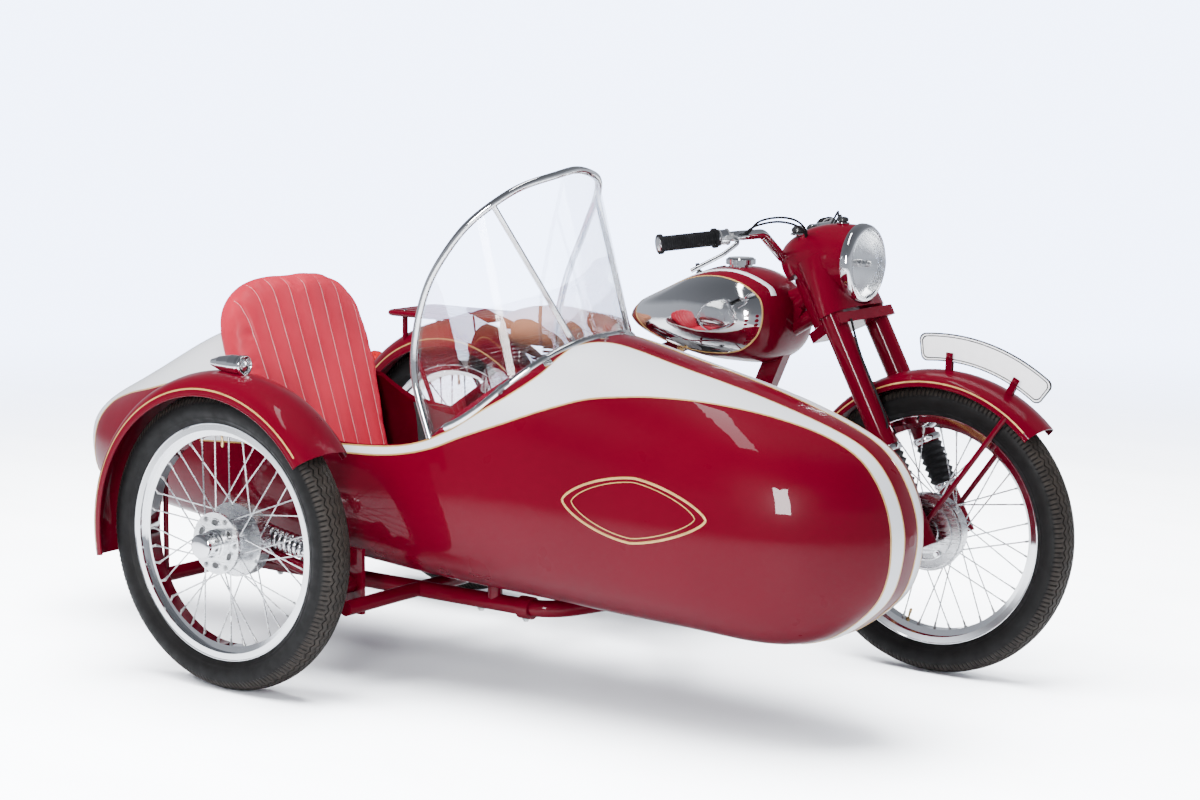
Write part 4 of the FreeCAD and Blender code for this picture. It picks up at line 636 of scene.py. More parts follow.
class TyreValues(bpy.types.PropertyGroup):
    around: count_value("Steps around", "Mesh steps round a tyre", 96, 960, 736)
    pitch_count: count_value("Tread waves", "Waves of a groove round the tyre", 20, 160, 92)
    groove_depth: number_value("Groove depth", "Depth in millimetres", 0.5, 8, 3.2)
    groove_width: number_value("Groove width", "Width in millimetres", 0.5, 8, 2.9)
    groove_spread: number_value("Groove spacing", "Spacing across the tread in millimetres", 5, 30, 12.5)


class SeatValues(bpy.types.PropertyGroup):
    seam_count: count_value("Seams", "Seams of the back rest and the cushion", 1, 14, 8)
    seam_depth: number_value("Seam depth", "Depth in millimetres", 0.5, 12, 4.0)
    welt_radius: number_value("Welt", "Radius of the welting cord in millimetres", 0.5, 5, 1.3)
    swell_cap: number_value("Swell", "Farthest that padding may move, in millimetres", 2, 30, 9.0)
    voxel: number_value("Voxel", "Mesh size of the padding in millimetres", 3, 10, 5.7)


class StageValues(bpy.types.PropertyGroup):
    floor_radius: number_value("Floor", "Radius of the floor in metres", 5, 60, 22)
    floor: colour_value("Floor colour", "Colour of the floor", (0.86, 0.89, 0.94))
    floor_power: number_value("Floor light", "Light on the floor alone, in watts", 0, 9000, 3400)
    backdrop: colour_value("Backdrop", "Colour behind the machine", (0.62, 0.72, 1.0))
    backdrop_strength: number_value("Backdrop strength", "Brightness behind the machine", 0, 30, 9.0)
    sky: colour_value("Surround", "Colour of the studio", (0.86, 0.90, 1.0))
    sky_strength: number_value("Surround strength", "Light from the studio", 0, 5, 2.0)
    mirror_share: number_value("Mirror share", "How much of the surround polished parts mirror", 0, 1, 0.3)
    key_power: number_value("Key", "Power of the key light in watts", 0, 5000, 290)
    lens: number_value("Lens", "Focal length in millimetres", 10, 300, 71.8)


FINISHES = {}


# Stage and finishes


def build_floor(values):
    """The round floor, with every face turned up."""
    rings = [(r * 1000, 0) for r in (0, 1, 3, 6, 12, values.floor_radius)]
    points, faces = lathe(rings, Vector(), UP, 96)
    mesh = bpy.data.meshes.new("studio_floor")
    mesh.from_pydata([tuple(p) for p in points], [], faces)
    form = bmesh.new()
    form.from_mesh(mesh)
    clean_form(form)
    for face in form.faces:
        face.normal_update()
        if face.normal.z < 0:
            face.normal_flip()
    form.to_mesh(mesh)
    form.free()
    mesh.materials.append(studio_floor("pale_floor", values.floor, values.floor_radius))
    floor = bpy.data.objects.new("studio_floor", mesh)
    floor.location = at(600, -300, 0)
    bpy.context.scene.collection.objects.link(floor)
    return floor


def room_colour(tree, sky):
    """The studio as parts see it: darker overhead, and brighter on one side."""
    place = tree.nodes.new("ShaderNodeTexCoord")
    split = tree.nodes.new("ShaderNodeSeparateXYZ")
    ramp = tree.nodes.new("ShaderNodeValToRGB")
    tree.links.new(place.outputs["Generated"], split.inputs["Vector"])
    tree.links.new(split.outputs["Z"], ramp.inputs["Fac"])
    stops = ramp.color_ramp.elements
    stops[0].position, stops[0].color = 0.0, (*sky, 1)
    stops[1].position, stops[1].color = 1.0, (*(sky * 0.25), 1)
    for position, share in ((0.22, 1.0), (0.34, 0.42)):
        stop = stops.new(position)
        stop.color = (*(sky * share), 1)
    side = map_range(tree, split.outputs["Y"], -1, 1, 0.75, 1.2)
    return mix_colour(tree, 1, ramp.outputs["Color"], side, "MULTIPLY")


def build_surround(values):
    """A dim studio that lights and mirrors, and a bright backdrop where it is seen directly."""
    world = bpy.data.worlds.new("studio")
    bpy.context.scene.world = world
    world.use_nodes = True
    tree = world.node_tree
    back = tree.nodes["Background"]
    path = tree.nodes.new("ShaderNodeLightPath")
    strength = values.sky_strength
    gloss = map_range(tree, path.outputs["Is Glossy Ray"], 0, 1, strength, strength * values.mirror_share)
    tree.links.new(gloss, back.inputs["Strength"])
    tree.links.new(room_colour(tree, Vector(values.sky)), back.inputs["Color"])
    front = tree.nodes.new("ShaderNodeBackground")
    front.inputs["Color"].default_value = (*values.backdrop, 1)
    front.inputs["Strength"].default_value = values.backdrop_strength
    choice = tree.nodes.new("ShaderNodeMixShader")
    tree.links.new(seen_directly(tree), choice.inputs["Fac"])
    tree.links.new(back.outputs["Background"], choice.inputs[1])
    tree.links.new(front.outputs["Background"], choice.inputs[2])
    tree.links.new(choice.outputs["Shader"], tree.nodes["World Output"].inputs["Surface"])


def soft_box(name, place, target, width, height, power, glint=True):
    """A light with a flat rectangular face, in metres; glint says if polished parts mirror it."""
    data = bpy.data.lights.new(name, "AREA")
    data.shape = "RECTANGLE"
    data.size, data.size_y = width, height
    data.energy = power
    lamp = bpy.data.objects.new(name, data)
    lamp.location = place
    lamp.rotation_euler = (target - place).to_track_quat("-Z", "Y").to_euler()
    lamp.visible_glossy = glint
    bpy.context.scene.collection.objects.link(lamp)
    return lamp


# Name, place in millimetres, width and height in metres, share of the key's power, and glint
LIGHTS = (
    ("key_box", (-1400, -2900, 3300), 2.4, 1.6, 1.25, False),
    ("side_box", (2300, -4200, 1900), 0.45, 1.5, 0.7, True),
    ("top_box", (600, 300, 4200), 4.0, 3.0, 0.9, False),
    ("strip_box", (700, -900, 4000), 0.3, 2.4, 0.1, True),
    ("back_box", (2200, 2600, 2600), 2.2, 1.8, 0.6, False),
)


def build_lights(values, floor):
    heart = at(500, -400, 450)
    for name, place, width, height, share, glint in LIGHTS:
        soft_box(name, at(*place), heart, width, height, values.key_power * share, glint)
    floor_box = soft_box("floor_box", at(500, -1300, 5200), at(600, -1200, 0), 4.6, 4.6, values.floor_power)
    lit = bpy.data.collections.new("floor_only")
    lit.objects.link(floor)
    floor_box.light_linking.receiver_collection = lit


# The photograph's camera: turn, downward pitch and roll in degrees, and its place in millimetres
CAMERA_ANGLES = (35.357, 8.336, 0.5636)
CAMERA_PLACE = (3728.1, -4664.4, 1360.3)


def build_camera(values):
    lens = bpy.data.cameras.new("photo_camera")
    lens.sensor_fit = "HORIZONTAL"
    lens.sensor_width = 36
    lens.lens = values.lens
    lens.clip_start, lens.clip_end = 0.1, 200
    camera = bpy.data.objects.new("photo_camera", lens)
    aim, pitch, roll = (math.radians(a) for a in CAMERA_ANGLES)
    ahead = Vector((-math.sin(aim) * math.cos(pitch), math.cos(aim) * math.cos(pitch), -math.sin(pitch)))
    right = Vector((math.cos(aim), math.sin(aim), 0))
    above = right.cross(ahead)
    right, above = (right * math.cos(roll) + above * math.sin(roll),
                    above * math.cos(roll) - right * math.sin(roll))
    turned = Matrix((right, above, -ahead)).transposed().to_4x4()
    camera.matrix_world = Matrix.Translation(at(*CAMERA_PLACE)) @ turned
    bpy.context.scene.collection.objects.link(camera)
    bpy.context.scene.camera = camera


def build_stage(values):
    floor = build_floor(values)
    build_surround(values)
    build_lights(values, floor)
    build_camera(values)


FINISHED_NODES = {
    "enamel": ("frame", "fork_yokes", "fork_legs", "front_mudguard", "rear_mudguard", "luggage_rack",
               "rear_plungers", "side_boxes", "fuel_tank", "headlamp_shell", "sidecar_nose", "sidecar_tub",
               "sidecar_tail", "sidecar_mudguard", "sidecar_chassis", "trailing_arm", "coupling_struts"),
    "chrome": ("exhaust_right", "exhaust_left", "handlebar", "levers", "headlamp_rim", "front_rim",
               "rear_rim", "sidecar_rim", "marker_lamp", "windscreen_frame", "coil_spring", "tank_cap"),
    "alloy": ("front_brake_plate", "front_hub", "rear_hub", "sidecar_hub"),
    "casting": ("crankcase", "carburettor", "cylinder_heads"),
    "iron": ("cylinders",),
    "rubber": ("fork_gaiters", "grips", "footrests"),
    "tyre": ("front_tyre", "rear_tyre", "sidecar_tyre"),
    "steel": ("centre_stand", "brake_pedal", "kick_lever", "front_axle", "saddle_springs", "rear_chain",
              "rear_sprocket"),
    "sheet_glass": ("windscreen_glass",),
    "lens_glass": ("headlamp_lens",),
    "red_lens": ("tail_lamp",),
    "plate": ("front_plate", "rear_plate"),
    "hide": ("seat_back", "seat_cushion"),
    "tan": ("saddle",),
    "board": ("seat_base",),
}


def build_finishes(values):
    FINISHES.update({
        "enamel": stove_enamel("red_enamel", values.red),
        "silver": silver_paint("silver_lacquer", values.silver),
        "gold": line_paint("gold_lining", values.gold, 0.35),
        "black_line": line_paint("black_lining", (0.012, 0.012, 0.013)),
        "chrome": bright_chrome("chromium", values.chrome),
        "alloy": polished_alloy("polished_alloy", values.alloy),
        "casting": cast_alloy("cast_alloy", darker(values.alloy, 0.62)),
        "iron": cast_iron("barrel_iron", (0.06, 0.06, 0.063)),
        "rubber": black_rubber("moulded_rubber", (0.0042, 0.0042, 0.0048)),
        "tyre": tyre_rubber("tyre_rubber", (0.0022, 0.0022, 0.0024), (0.04, 0.032, 0.026)),
        "steel": oiled_steel("oiled_steel", (0.13, 0.13, 0.135)),
        "bright_steel": oiled_steel("bright_steel", (0.62, 0.62, 0.63)),
        "brass": oiled_steel("brass_studs", (0.72, 0.5, 0.24)),
        "sheet_glass": plain_glass("screen_sheet", (0.98, 0.99, 0.985), 0.0, 0.3),
        "lens_glass": plain_glass("lens_glass", (0.97, 0.98, 0.985), 0.02, 1.0),
        "red_lens": coloured_lens("red_lens", (0.5, 0.008, 0.012)),
        "plate": line_paint("plate_enamel", (0.98, 0.975, 0.99), 0.0, 0.95),
        "hide": dyed_leather("seat_hide", values.hide, darker(values.hide, 0.78)),
        "thread": line_paint("pale_piping", (0.62, 0.25, 0.26)),
        "tan": dyed_leather("saddle_hide", values.tan, darker(values.tan, 0.72)),
        "lining": woven_cloth("cockpit_lining", (0.018, 0.018, 0.019)),
        "board": varnished_board("seat_board", (0.22, 0.13, 0.07)),
    })
    for finish, nodes in FINISHED_NODES.items():
        for node in nodes:
            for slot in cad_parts[node].material_slots:
                slot.material = FINISHES[finish]


# Sidecar hull

# Lower and upper edge of the silver band: distance ahead, out from the hull's middle, and height
BAND_EDGES = (
    ((-39, 262, 491), (-39, 255, 506)), ((148, 267, 502), (148, 262, 518)),
    ((346, 261, 507), (340, 255, 523)), ((500, 260, 515), (493, 254, 532)),
    ((620, 260, 541), (583, 252, 549)), ((697, 258, 571), (668, 252, 583)),
    ((808, 247, 612), (737, 241, 626)), ((910, 228, 650), (799, 222, 665)),
    ((984, 205, 671), (850, 189, 707)), ((1060, 182, 680), (868, 145, 740)),
    ((1095, 170, 682), (883, 97, 762)), ((1160, 150, 682), (952, 51, 761)),
    ((1232, 127, 676), (1132, 47, 721)), ((1353, 90, 654), (1276, 42, 688)),
    ((1440, 70, 629), (1400, 36, 652)), ((1509, 63, 593), (1490, 30, 615)),
    ((1555, 62, 542), (1555, 27, 560)), ((1580, 62, 485), (1592, 27, 490)),
    ((1588, 62, 416), (1603, 27, 420)), ((1580, 62, 360), (1595, 27, 355)),
    ((1550, 62, 300), (1560, 27, 290)), ((1490, 62, 245), (1495, 27, 235)),
    ((1400, 60, 212), (1400, 27, 208)),
)


def hull_skin():
    return Skin(("sidecar_nose", "sidecar_tub", "sidecar_tail"),
                at(-400, HULL_Y, 400), at(1350, HULL_Y, 400))


def hull_line(side, spots):
    """A curve beside the hull's middle, through places given ahead, outward and up."""
    return smooth_line([at(x, HULL_Y + side * y, z) for x, y, z in spots], 8)


def paint_line(skin, line, values):
    """A lining stroke on a skin."""
    return laid_ribbon(skin, line, values.line_width, values.lift * 0.8, values.lift * 0.8)


def build_hull_paint(values):
    skin = hull_skin()
    bands, lines = Batch(), Batch()
    for side in (-1, 1):
        low = hull_line(side, [edge for edge, _ in BAND_EDGES])
        high = hull_line(side, [edge for _, edge in BAND_EDGES])
        bands.add(*laid_panel(skin, low, high, 12, values.lift))
        for line in (low, high):
            lines.add(*paint_line(skin, line, values))
    add_batch("hull_silver_bands", bands, "silver", "chassis", "paint_red", 60)
    add_batch("hull_gold_lines", lines, "gold", "chassis", "paint_red", 60)


# Wheels


WHEEL_NAMES = ("front", "rear", "sidecar")
WHEEL_CENTRES = {name: middle_of(name + "_tyre") for name in WHEEL_NAMES}


def wheel_of(name):
    """The centre of a wheel and the body that it turns with."""
    return WHEEL_CENTRES[name], name + "_wheel"


DRUM_SIDES = {"front": -1, "rear": 1, "sidecar": 1}

# Half of the tyre's section, from the bead to the crown: radius and half width
TYRE_SECTION = ((248, 27.0), (254, 28.6), (259, 33.0), (263.6, 36.0), (264.6, 37.4), (267.4, 38.6),
                (269, 38.9), (276, 41.6), (284, 42.9), (294, 41.9), (303, 38.2), (310.5, 31.8),
                (316.4, 23.4), (320.4, 12.6), (AXLE_HEIGHT, 0))


def tyre_curve():
    """Arc length from the crown, radius and offset along the whole section."""
    half = smooth_line([Vector((y, r, 0)) for r, y in reversed(TYRE_SECTION)], 12)
    lengths = [0.0]
    for a, b in zip(half, half[1:]):
        lengths.append(lengths[-1] + (b - a).length)
    return np.array(lengths), np.array([p.x for p in half]), np.array([p.y for p in half])


# Columns of the side wall, from the shoulder to the bead, as arc lengths from the crown
WALL_COLUMNS = (31.5, 34, 37, 40, 43, 46, 50, 55, 60, 65, 70, 75, 78, 80, 81.2, 82.4, 83.6, 85, 87, 90, 94,
                98, 102)


def tread_columns(values):
    """Arc places across the tyre, each with its share of the groove depth."""
    edge = values.groove_width / 2
    columns = []
    for k in range(-2, 3):
        middle = k * values.groove_spread
        for side in (-1, 1):
            columns += [(middle + side * reach, share) for reach, share in
                        ((edge + 0.7, 0), (edge, 0.1), (edge * 0.5, 1))]
    for side in (-1, 1):
        columns += [(side * s, 0) for s in WALL_COLUMNS]
    return sorted(columns)


# The tread: how far a groove waves and over what arc the wave dies out, and the shoulder's notches
WAVE_REACH = 3.2
WAVE_END = 44
WAVE_FADE = 10
SHOULDER = (30.5, 48)
NOTCH_DEPTH = 2.4


def tread_surface(values):
    """Angle, radius, offset and dust over the whole tyre, in rows round it."""
    lengths, offsets, radii = tyre_curve()
    columns = tread_columns(values)
    across = np.array([c[0] for c in columns])
    depth = np.array([c[1] for c in columns]) * values.groove_depth
    wave_rows = values.around // values.pitch_count
    step = np.arange(values.around)
    wave = np.abs((step % wave_rows) / wave_rows * 4 - 2) - 1
    hold = np.clip((WAVE_END - np.abs(across)) / WAVE_FADE, 0, 1)
    place = across[None, :] + wave[:, None] * WAVE_REACH * hold[None, :]
    reach = np.abs(place)
    out = np.interp(reach, lengths, offsets) * np.sign(place)
    radius = np.interp(reach, lengths, radii)
    slope_r = (np.interp(reach + 0.5, lengths, radii) - np.interp(reach - 0.5, lengths, radii))
    slope_y = (np.interp(reach + 0.5, lengths, offsets)
               - np.interp(np.abs(reach - 0.5), lengths, offsets))
    size = np.hypot(slope_r, slope_y) + 1e-9
    normal_r, normal_y = slope_y / size, -slope_r / size * np.sign(place)
    shoulder = ((reach > SHOULDER[0]) & (reach < SHOULDER[1])).astype(float)
    notch = ((step % (wave_rows // 2)) == 0).astype(float)
    dig = depth[None, :] + notch[:, None] * shoulder * NOTCH_DEPTH
    worn = np.clip((50 - reach) / 6, 0, 1) * np.clip(1.1 - dig / 1.5, 0, 1) * 0.9 + 0.06
    return math.tau * step / values.around, radius - normal_r * dig, out - normal_y * dig, worn


def build_tyres(values):
    turn, radius, out, worn = tread_surface(values)
    faces = grid_faces(*radius.shape, loop_rows=True)
    for name in WHEEL_NAMES:
        centre, body = wheel_of(name)
        points = np.empty((*radius.shape, 3))
        points[..., 0] = centre.x + np.cos(turn)[:, None] * radius * MM
        points[..., 1] = centre.y + out * MM
        points[..., 2] = centre.z + np.sin(turn)[:, None] * radius * MM
        mesh = bpy.data.meshes.new(name + "_tyre_tread")
        mesh.from_pydata(points.reshape(-1, 3).tolist(), [], faces)
        dust = mesh.attributes.new("tread_dust", "FLOAT", "POINT")
        dust.data.foreach_set("value", worn.reshape(-1).astype(np.float32))
        mesh.flip_normals()
        tyre = link_mesh(name + "_tyre_tread", mesh, "tyre", body, 32)
        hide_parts(name + "_tyre")


# Spokes: how many a side, radius at the rim, and each flange's radius, offset, swing and first hole
SPOKES_A_SIDE = 18
SPOKE_RIM = 228.3
SPOKE_ENDS = ((75, 11, 32, 0), (37, -34, 70, 10))
VALVE_TURNS = {"front": 253, "rear": 95, "sidecar": 95}
NIPPLE = [(0, -14), (2.0, -14), (2.5, -11), (2.5, -3), (3.6, -2), (3.6, 0.4), (0, 0.4)]
VALVE = [(0, 0), (5.5, 0), (5.5, 2), (2.7, 3), (2.7, 16), (3.4, 17), (3.4, 25), (2, 27), (0, 27)]
RIM_EDGE = [(252.6, 28.2), (254.4, 28.5), (255.2, 29.7), (254.6, 31.0), (252.9, 31.3), (251.8, 30.0),
            (252.6, 28.2)]


def spoke_line(centre, hub_radius, hub_offset, hub_angle, rim_angle):
    def place(radius, offset, angle):
        turn = math.radians(angle)
        return centre + Vector((math.cos(turn) * radius, offset, math.sin(turn) * radius)) * MM
    return place(hub_radius, hub_offset, hub_angle), place(SPOKE_RIM, 0, rim_angle)


def build_spoke_nipples(name, centre, body):
    """The rim's nipples, and the spokes' heads at the hub."""
    nipples = Batch()
    for i in range(SPOKES_A_SIDE):
        step = 360 / SPOKES_A_SIDE * i
        for radius, offset, swing, first in SPOKE_ENDS:
            hole = step + first
            turned = hole + (swing if i % 2 else -swing)
            start, end = spoke_line(centre, radius, DRUM_SIDES[name] * offset, turned, hole)
            along = (end - start).normalized()
            nipples.add(*lathe(NIPPLE, end - along * (2.6 * MM), along, 10))
            nipples.add(*dome(start + along * (1.0 * MM), -along, 3.0, 2.4, 10))
    add_batch(name + "_spoke_nipples", nipples, "bright_steel", body, "bright_chrome")


def build_wheel_trim(values):
    for name in WHEEL_NAMES:
        centre, body = wheel_of(name)
        build_spoke_nipples(name, centre, body)
        out = wheel_way(math.radians(VALVE_TURNS[name]))
        add_turned(name + "_valve", VALVE, centre + out * (226 * MM), -out, 12, "brass", body,
                   "bright_chrome")
        beads = Batch()
        for edge in (-1, 1):
            beads.add(*lathe(RIM_EDGE, centre, LEFT * edge, 160))
        add_batch(name + "_rim_edges", beads, "chrome", body, "bright_chrome")


# The sidecar hub's outer flange, in millimetres: its face, the rings of its face, its holes and its bolts
FLANGE_FACE = 42.5
FLANGE_RINGS = (26, 33, 44, 55, 62, 66)
FLANGE_HOLES = 6
HOLE_CIRCLE = 46
BOLT_CIRCLE = 56
HUB_CAP = [(30, 0), (30, 6), (27, 8), (27, 12), (28.5, 13), (28.5, 16), (26.6, 18), (26.4, 45.2),
           (24, 47.6), (17, 49.2), (8, 50), (0, 50.2)]


def hub_place(radius, turn, height):
    """A place on the sidecar's hub, its height counted outward from the wheel's middle."""
    centre, _ = wheel_of("sidecar")
    return centre + wheel_way(turn) * (radius * MM) - LEFT * (height * MM)


def build_hub_flange(body):
    steps = 96
    turns = [math.tau * i / steps for i in range(steps)]
    form = Batch()
    form.add([hub_place(radius, turn, FLANGE_FACE) for radius in FLANGE_RINGS for turn in turns],
             ring_faces(len(FLANGE_RINGS), steps))
    heights = [FLANGE_FACE - drop for drop in (0, 1.5, 7)]
    form.add([hub_place(FLANGE_RINGS[-1], turn, height) for height in heights for turn in turns],
             ring_faces(len(heights), steps))
    add_batch("sidecar_hub_flange", form, "alloy", body, "hub_alloy")


def build_hub_collars(body):
    """Raised rims round the flange's oval wells, a flat black disc in each well as painted shade for an
    open hole, and the bolts between them.
    """
    out = -LEFT
    steps = 28
    hole_shade_discs, collars, bolts = Batch(), Batch(), Batch()
    for k in range(FLANGE_HOLES):
        turn = math.tau * (k + 0.5) / FLANGE_HOLES
        radial = wheel_way(turn)
        tangent = UP * math.cos(turn) - AHEAD * math.sin(turn)
        middle = hub_place(HOLE_CIRCLE, turn, FLANGE_FACE)
        rings = [[], [], [], []]
        for i in range(steps):
            a = math.tau * i / steps
            way = radial * math.cos(a) * 6.0 + tangent * math.sin(a) * 9.5
            wide = radial * math.cos(a) * 8.6 + tangent * math.sin(a) * 12.1
            spots = ((wide, 0.1), ((way + wide) * 0.5, 2.2), (way, 1.6), (way * 0.96, 0.3))
            for ring, (spot, height) in zip(rings, spots):
                ring.append(middle + spot * MM + out * (height * MM))
        collars.add(sum(rings, []), ring_faces(len(rings), steps))
        # Each well's floor is a flat black disc, 0.3 mm above the flange, that paints the shade inside an
        # open hole
        hole_shade_discs.add(rings[-1] + [middle + out * (0.3 * MM)],
                  [(i, (i + 1) % steps, steps) for i in range(steps)])
        seat = hub_place(BOLT_CIRCLE, math.tau * k / FLANGE_HOLES, FLANGE_FACE)
        bolts.add(*bolt(seat, out, 4.2, 4.2, 1.0))
    add_batch("sidecar_hub_collars", collars, "alloy", body, "hub_alloy")
    add_batch("sidecar_hub_wells", hole_shade_discs, "black_line", body, "hub_alloy")
    add_batch("sidecar_hub_bolts", bolts, "bright_steel", body, "bright_chrome")


def build_sidecar_hub_cover(values):
    """The polished outer flange with its collared oval wells, whose black discs are painted shade for open
    holes, bolts and domed cap.
    """
    centre, body = wheel_of("sidecar")
    build_hub_flange(body)
    build_hub_collars(body)
    add_turned("sidecar_hub_cap", HUB_CAP, centre - LEFT * (FLANGE_FACE * MM), -LEFT, 48, "chrome",
               body, "bright_chrome")


# Soft parts


def evaluated_mesh(piece):
    depsgraph = bpy.context.evaluated_depsgraph_get()
    return bpy.data.meshes.new_from_object(piece.evaluated_get(depsgraph))


def place_array(mesh):
    places = np.empty(len(mesh.vertices) * 3)
    mesh.vertices.foreach_get("co", places)
    return places.reshape(-1, 3)


def blown_places(piece, rest, pressure, reach):
    """Where a cloth simulation takes the points, each held within a reach in millimetres."""
    settings = piece.modifiers.new("Cloth", "CLOTH").settings
    settings.use_pressure = True
    settings.uniform_pressure_force = pressure
    settings.effector_weights.gravity = 0
    scene = bpy.context.scene
    for step in range(1, 21):
        scene.frame_set(step)
    blown = evaluated_mesh(piece)
    shift = place_array(blown) - rest
    piece.modifiers.clear()
    scene.frame_set(1)
    bpy.data.meshes.remove(blown)
    far = np.linalg.norm(shift, axis=1)
    cap = reach * MM
    limited = cap * np.tanh(far / cap)
    return rest + shift * (limited / np.maximum(far, 1e-9))[:, None]


def padded_form(name, node, values, shrink, swell, pressure=4.0):
    """Padding from a plain solid: remeshed, drawn in, blown up as cloth and smoothed."""
    piece = bpy.data.objects.new(name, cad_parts[node].data.copy())
    bpy.context.scene.collection.objects.link(piece)
    remesh = piece.modifiers.new("Remesh", "REMESH")
    remesh.mode = "VOXEL"
    remesh.voxel_size = values.voxel * MM
    mesh = evaluated_mesh(piece)
    piece.modifiers.clear()
    piece.data = mesh
    form = bmesh.new()
    form.from_mesh(mesh)
    for _ in range(3):
        bmesh.ops.smooth_vert(form, verts=form.verts, factor=0.5,
                              use_axis_x=True, use_axis_y=True, use_axis_z=True)
    form.normal_update()
    for vertex in form.verts:
        vertex.co -= vertex.normal * (shrink * MM)
    form.to_mesh(mesh)
    form.free()
    places = place_array(mesh)
    places = blown_places(piece, places, pressure, swell)
    mesh.vertices.foreach_set("co", places.reshape(-1))
    smooth = piece.modifiers.new("Subdivision", "SUBSURF")
    smooth.levels = smooth.render_levels = 1
    final = evaluated_mesh(piece)
    piece.modifiers.clear()
    piece.data = final
    return piece, final


def finish_padding(piece, finish, body, node):
    piece.data.materials.clear()
    piece.data.materials.append(FINISHES[finish])
    piece.data.shade_smooth()
    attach(piece, body)
    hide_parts(node)


def normal_array(mesh):
    normals = np.empty(len(mesh.vertices) * 3)
    mesh.vertex_normals.foreach_get("vector", normals)
    return normals.reshape(-1, 3)


BACK_LEAN = math.radians(19)
BACK_FOOT = (183, 330)


def back_axes():
    """The back rest's foot, its upward way and its face's outward way."""
    foot = at(BACK_FOOT[0], HULL_Y, BACK_FOOT[1])
    rise = Vector((-math.sin(BACK_LEAN), 0, math.cos(BACK_LEAN)))
    out = Vector((math.cos(BACK_LEAN), 0, math.sin(BACK_LEAN)))
    return foot, rise, out


# Seams of the seat, in millimetres: pitch, width and rise of a channel, and the back rest's crown
SEAM_PITCH = 48
SEAM_WIDTH = 3.4
CHANNEL_RISE = 1.3
CROWN_HEIGHT = 560


def seam_places(count):
    """How far each seam lies from the seat's middle."""
    return [(i - (count - 1) / 2) * SEAM_PITCH for i in range(count)]


def seam_spread(height):
    """How the back rest's seams draw apart from its foot to its crown."""
    return 0.86 + 0.24 * np.clip(height / CROWN_HEIGHT, 0, 1)


def quilt(mesh, places, normals, gaps, mask, values):
    """Sink the seams and let the channels rise between them, where the mask allows it."""
    move = np.zeros(len(places))
    for gap in gaps:
        move -= values.seam_depth * np.exp(-(gap / SEAM_WIDTH) ** 2)
        move += CHANNEL_RISE * np.exp(-((gap - 20) / 13) ** 2)
    places += normals * (move * mask * MM)[:, None]
    mesh.vertices.foreach_set("co", places.reshape(-1))


def build_seat_back(values):
    piece, mesh = padded_form("seat_back_hide", "seat_back", values, 5.0, values.swell_cap)
    foot, rise, out = back_axes()
    places, normals = place_array(mesh), normal_array(mesh)
    local = places - np.array(foot)
    height = local @ np.array(rise) / MM
    side = local[:, 1] / MM
    flat = np.clip(normals @ np.array(out) * 1.6, 0, 1)
    edge = np.clip((566 - height) / 22, 0, 1)
    seams = seam_places(values.seam_count)
    spread = seam_spread(height)
    quilt(mesh, places, normals, [np.abs(side - seam * spread) for seam in seams], flat * edge, values)
    finish_padding(piece, "hide", "chassis", "seat_back")

    skin = BVHTree.FromObject(piece, bpy.context.evaluated_depsgraph_get())
    piping = Batch()
    for seam in seams:
        line = []
        for high in range(40, 600, 8):
            wide = seam * float(seam_spread(high))
            start = foot + rise * (high * MM) + LEFT * (wide * MM) + out * 0.3
            hit, normal, _, _ = skin.ray_cast(start, -out)
            if hit is None or normal.dot(out) < 0.25:
                break
            line.append(hit - normal * (0.3 * MM))
        if len(line) > 4:
            piping.add(*pipe(line, values.welt_radius, 6))
    add_batch("seat_back_piping", piping, "thread", "chassis", "seat_leather")


def build_seat_cushion(values):
    piece, mesh = padded_form("seat_cushion_hide", "seat_cushion", values, 5.0, values.swell_cap)
    places, normals = place_array(mesh), normal_array(mesh)
    side = (places[:, 1] - at(0, HULL_Y, 0).y) / MM
    flat = np.clip(normals[:, 2] * 1.6, 0, 1)
    gaps = [np.abs(side - seam) for seam in seam_places(values.seam_count)]
    quilt(mesh, places, normals, gaps, flat, values)
    finish_padding(piece, "hide", "chassis", "seat_cushion")


def build_saddle(values):
    piece, _ = padded_form("saddle_hide", "saddle", values, 2.0, 4.0, 2.0)
    finish_padding(piece, "tan", "chassis", "saddle")


# Chain and springs


def chain_path(low_centre, low_radius, high_centre, high_radius):
    """The chain's closed centre line round both sprockets, and its length."""
    span = high_centre - low_centre
    along = span.normalized()
    across = LEFT.cross(along)
    lean = math.acos((low_radius - high_radius) * MM / span.length)
    corners = []
    for sign in (1, -1):
        way = along * math.cos(lean) + across * (math.sin(lean) * sign)
        corners.append((low_centre + way * (low_radius * MM), high_centre + way * (high_radius * MM)))
    (low_a, high_a), (low_b, high_b) = corners
    run = (high_a - low_a).length
    low_arc = low_radius * MM * (math.tau - 2 * lean)
    high_arc = high_radius * MM * 2 * lean
    total = run * 2 + low_arc + high_arc

    def place(distance):
        distance %= total
        if distance < run:
            return low_a.lerp(high_a, distance / run)
        distance -= run
        if distance < high_arc:
            turn = Matrix.Rotation(distance / (high_radius * MM), 3, LEFT)
            return high_centre + turn @ (high_a - high_centre)
        distance -= high_arc
        if distance < run:
            return high_b.lerp(low_b, distance / run)
        distance -= run
        turn = Matrix.Rotation(distance / (low_radius * MM), 3, LEFT)
        return low_centre + turn @ (low_b - low_centre)
    return place, total


def link_plate(first, second, offset, width, thickness):
    """One side plate of a link, with round ends, between two pins."""
    along = (second - first).normalized()
    across = LEFT.cross(along)
    ring = []
    for centre, start in ((second, -90), (first, 90)):
        for i in range(7):
            turn = math.radians(start + 30 * i)
            ring.append(centre + (along * math.cos(turn) + across * math.sin(turn)) * (width / 2 * MM))
    near = [p + LEFT * ((offset - thickness / 2) * MM) for p in ring]
    far = [p + LEFT * ((offset + thickness / 2) * MM) for p in ring]
    count = len(ring)
    faces = [(i, (i + 1) % count, count + (i + 1) % count, count + i) for i in range(count)]
    faces += [tuple(range(count)), tuple(range(count, 2 * count))]
    return near + far, faces


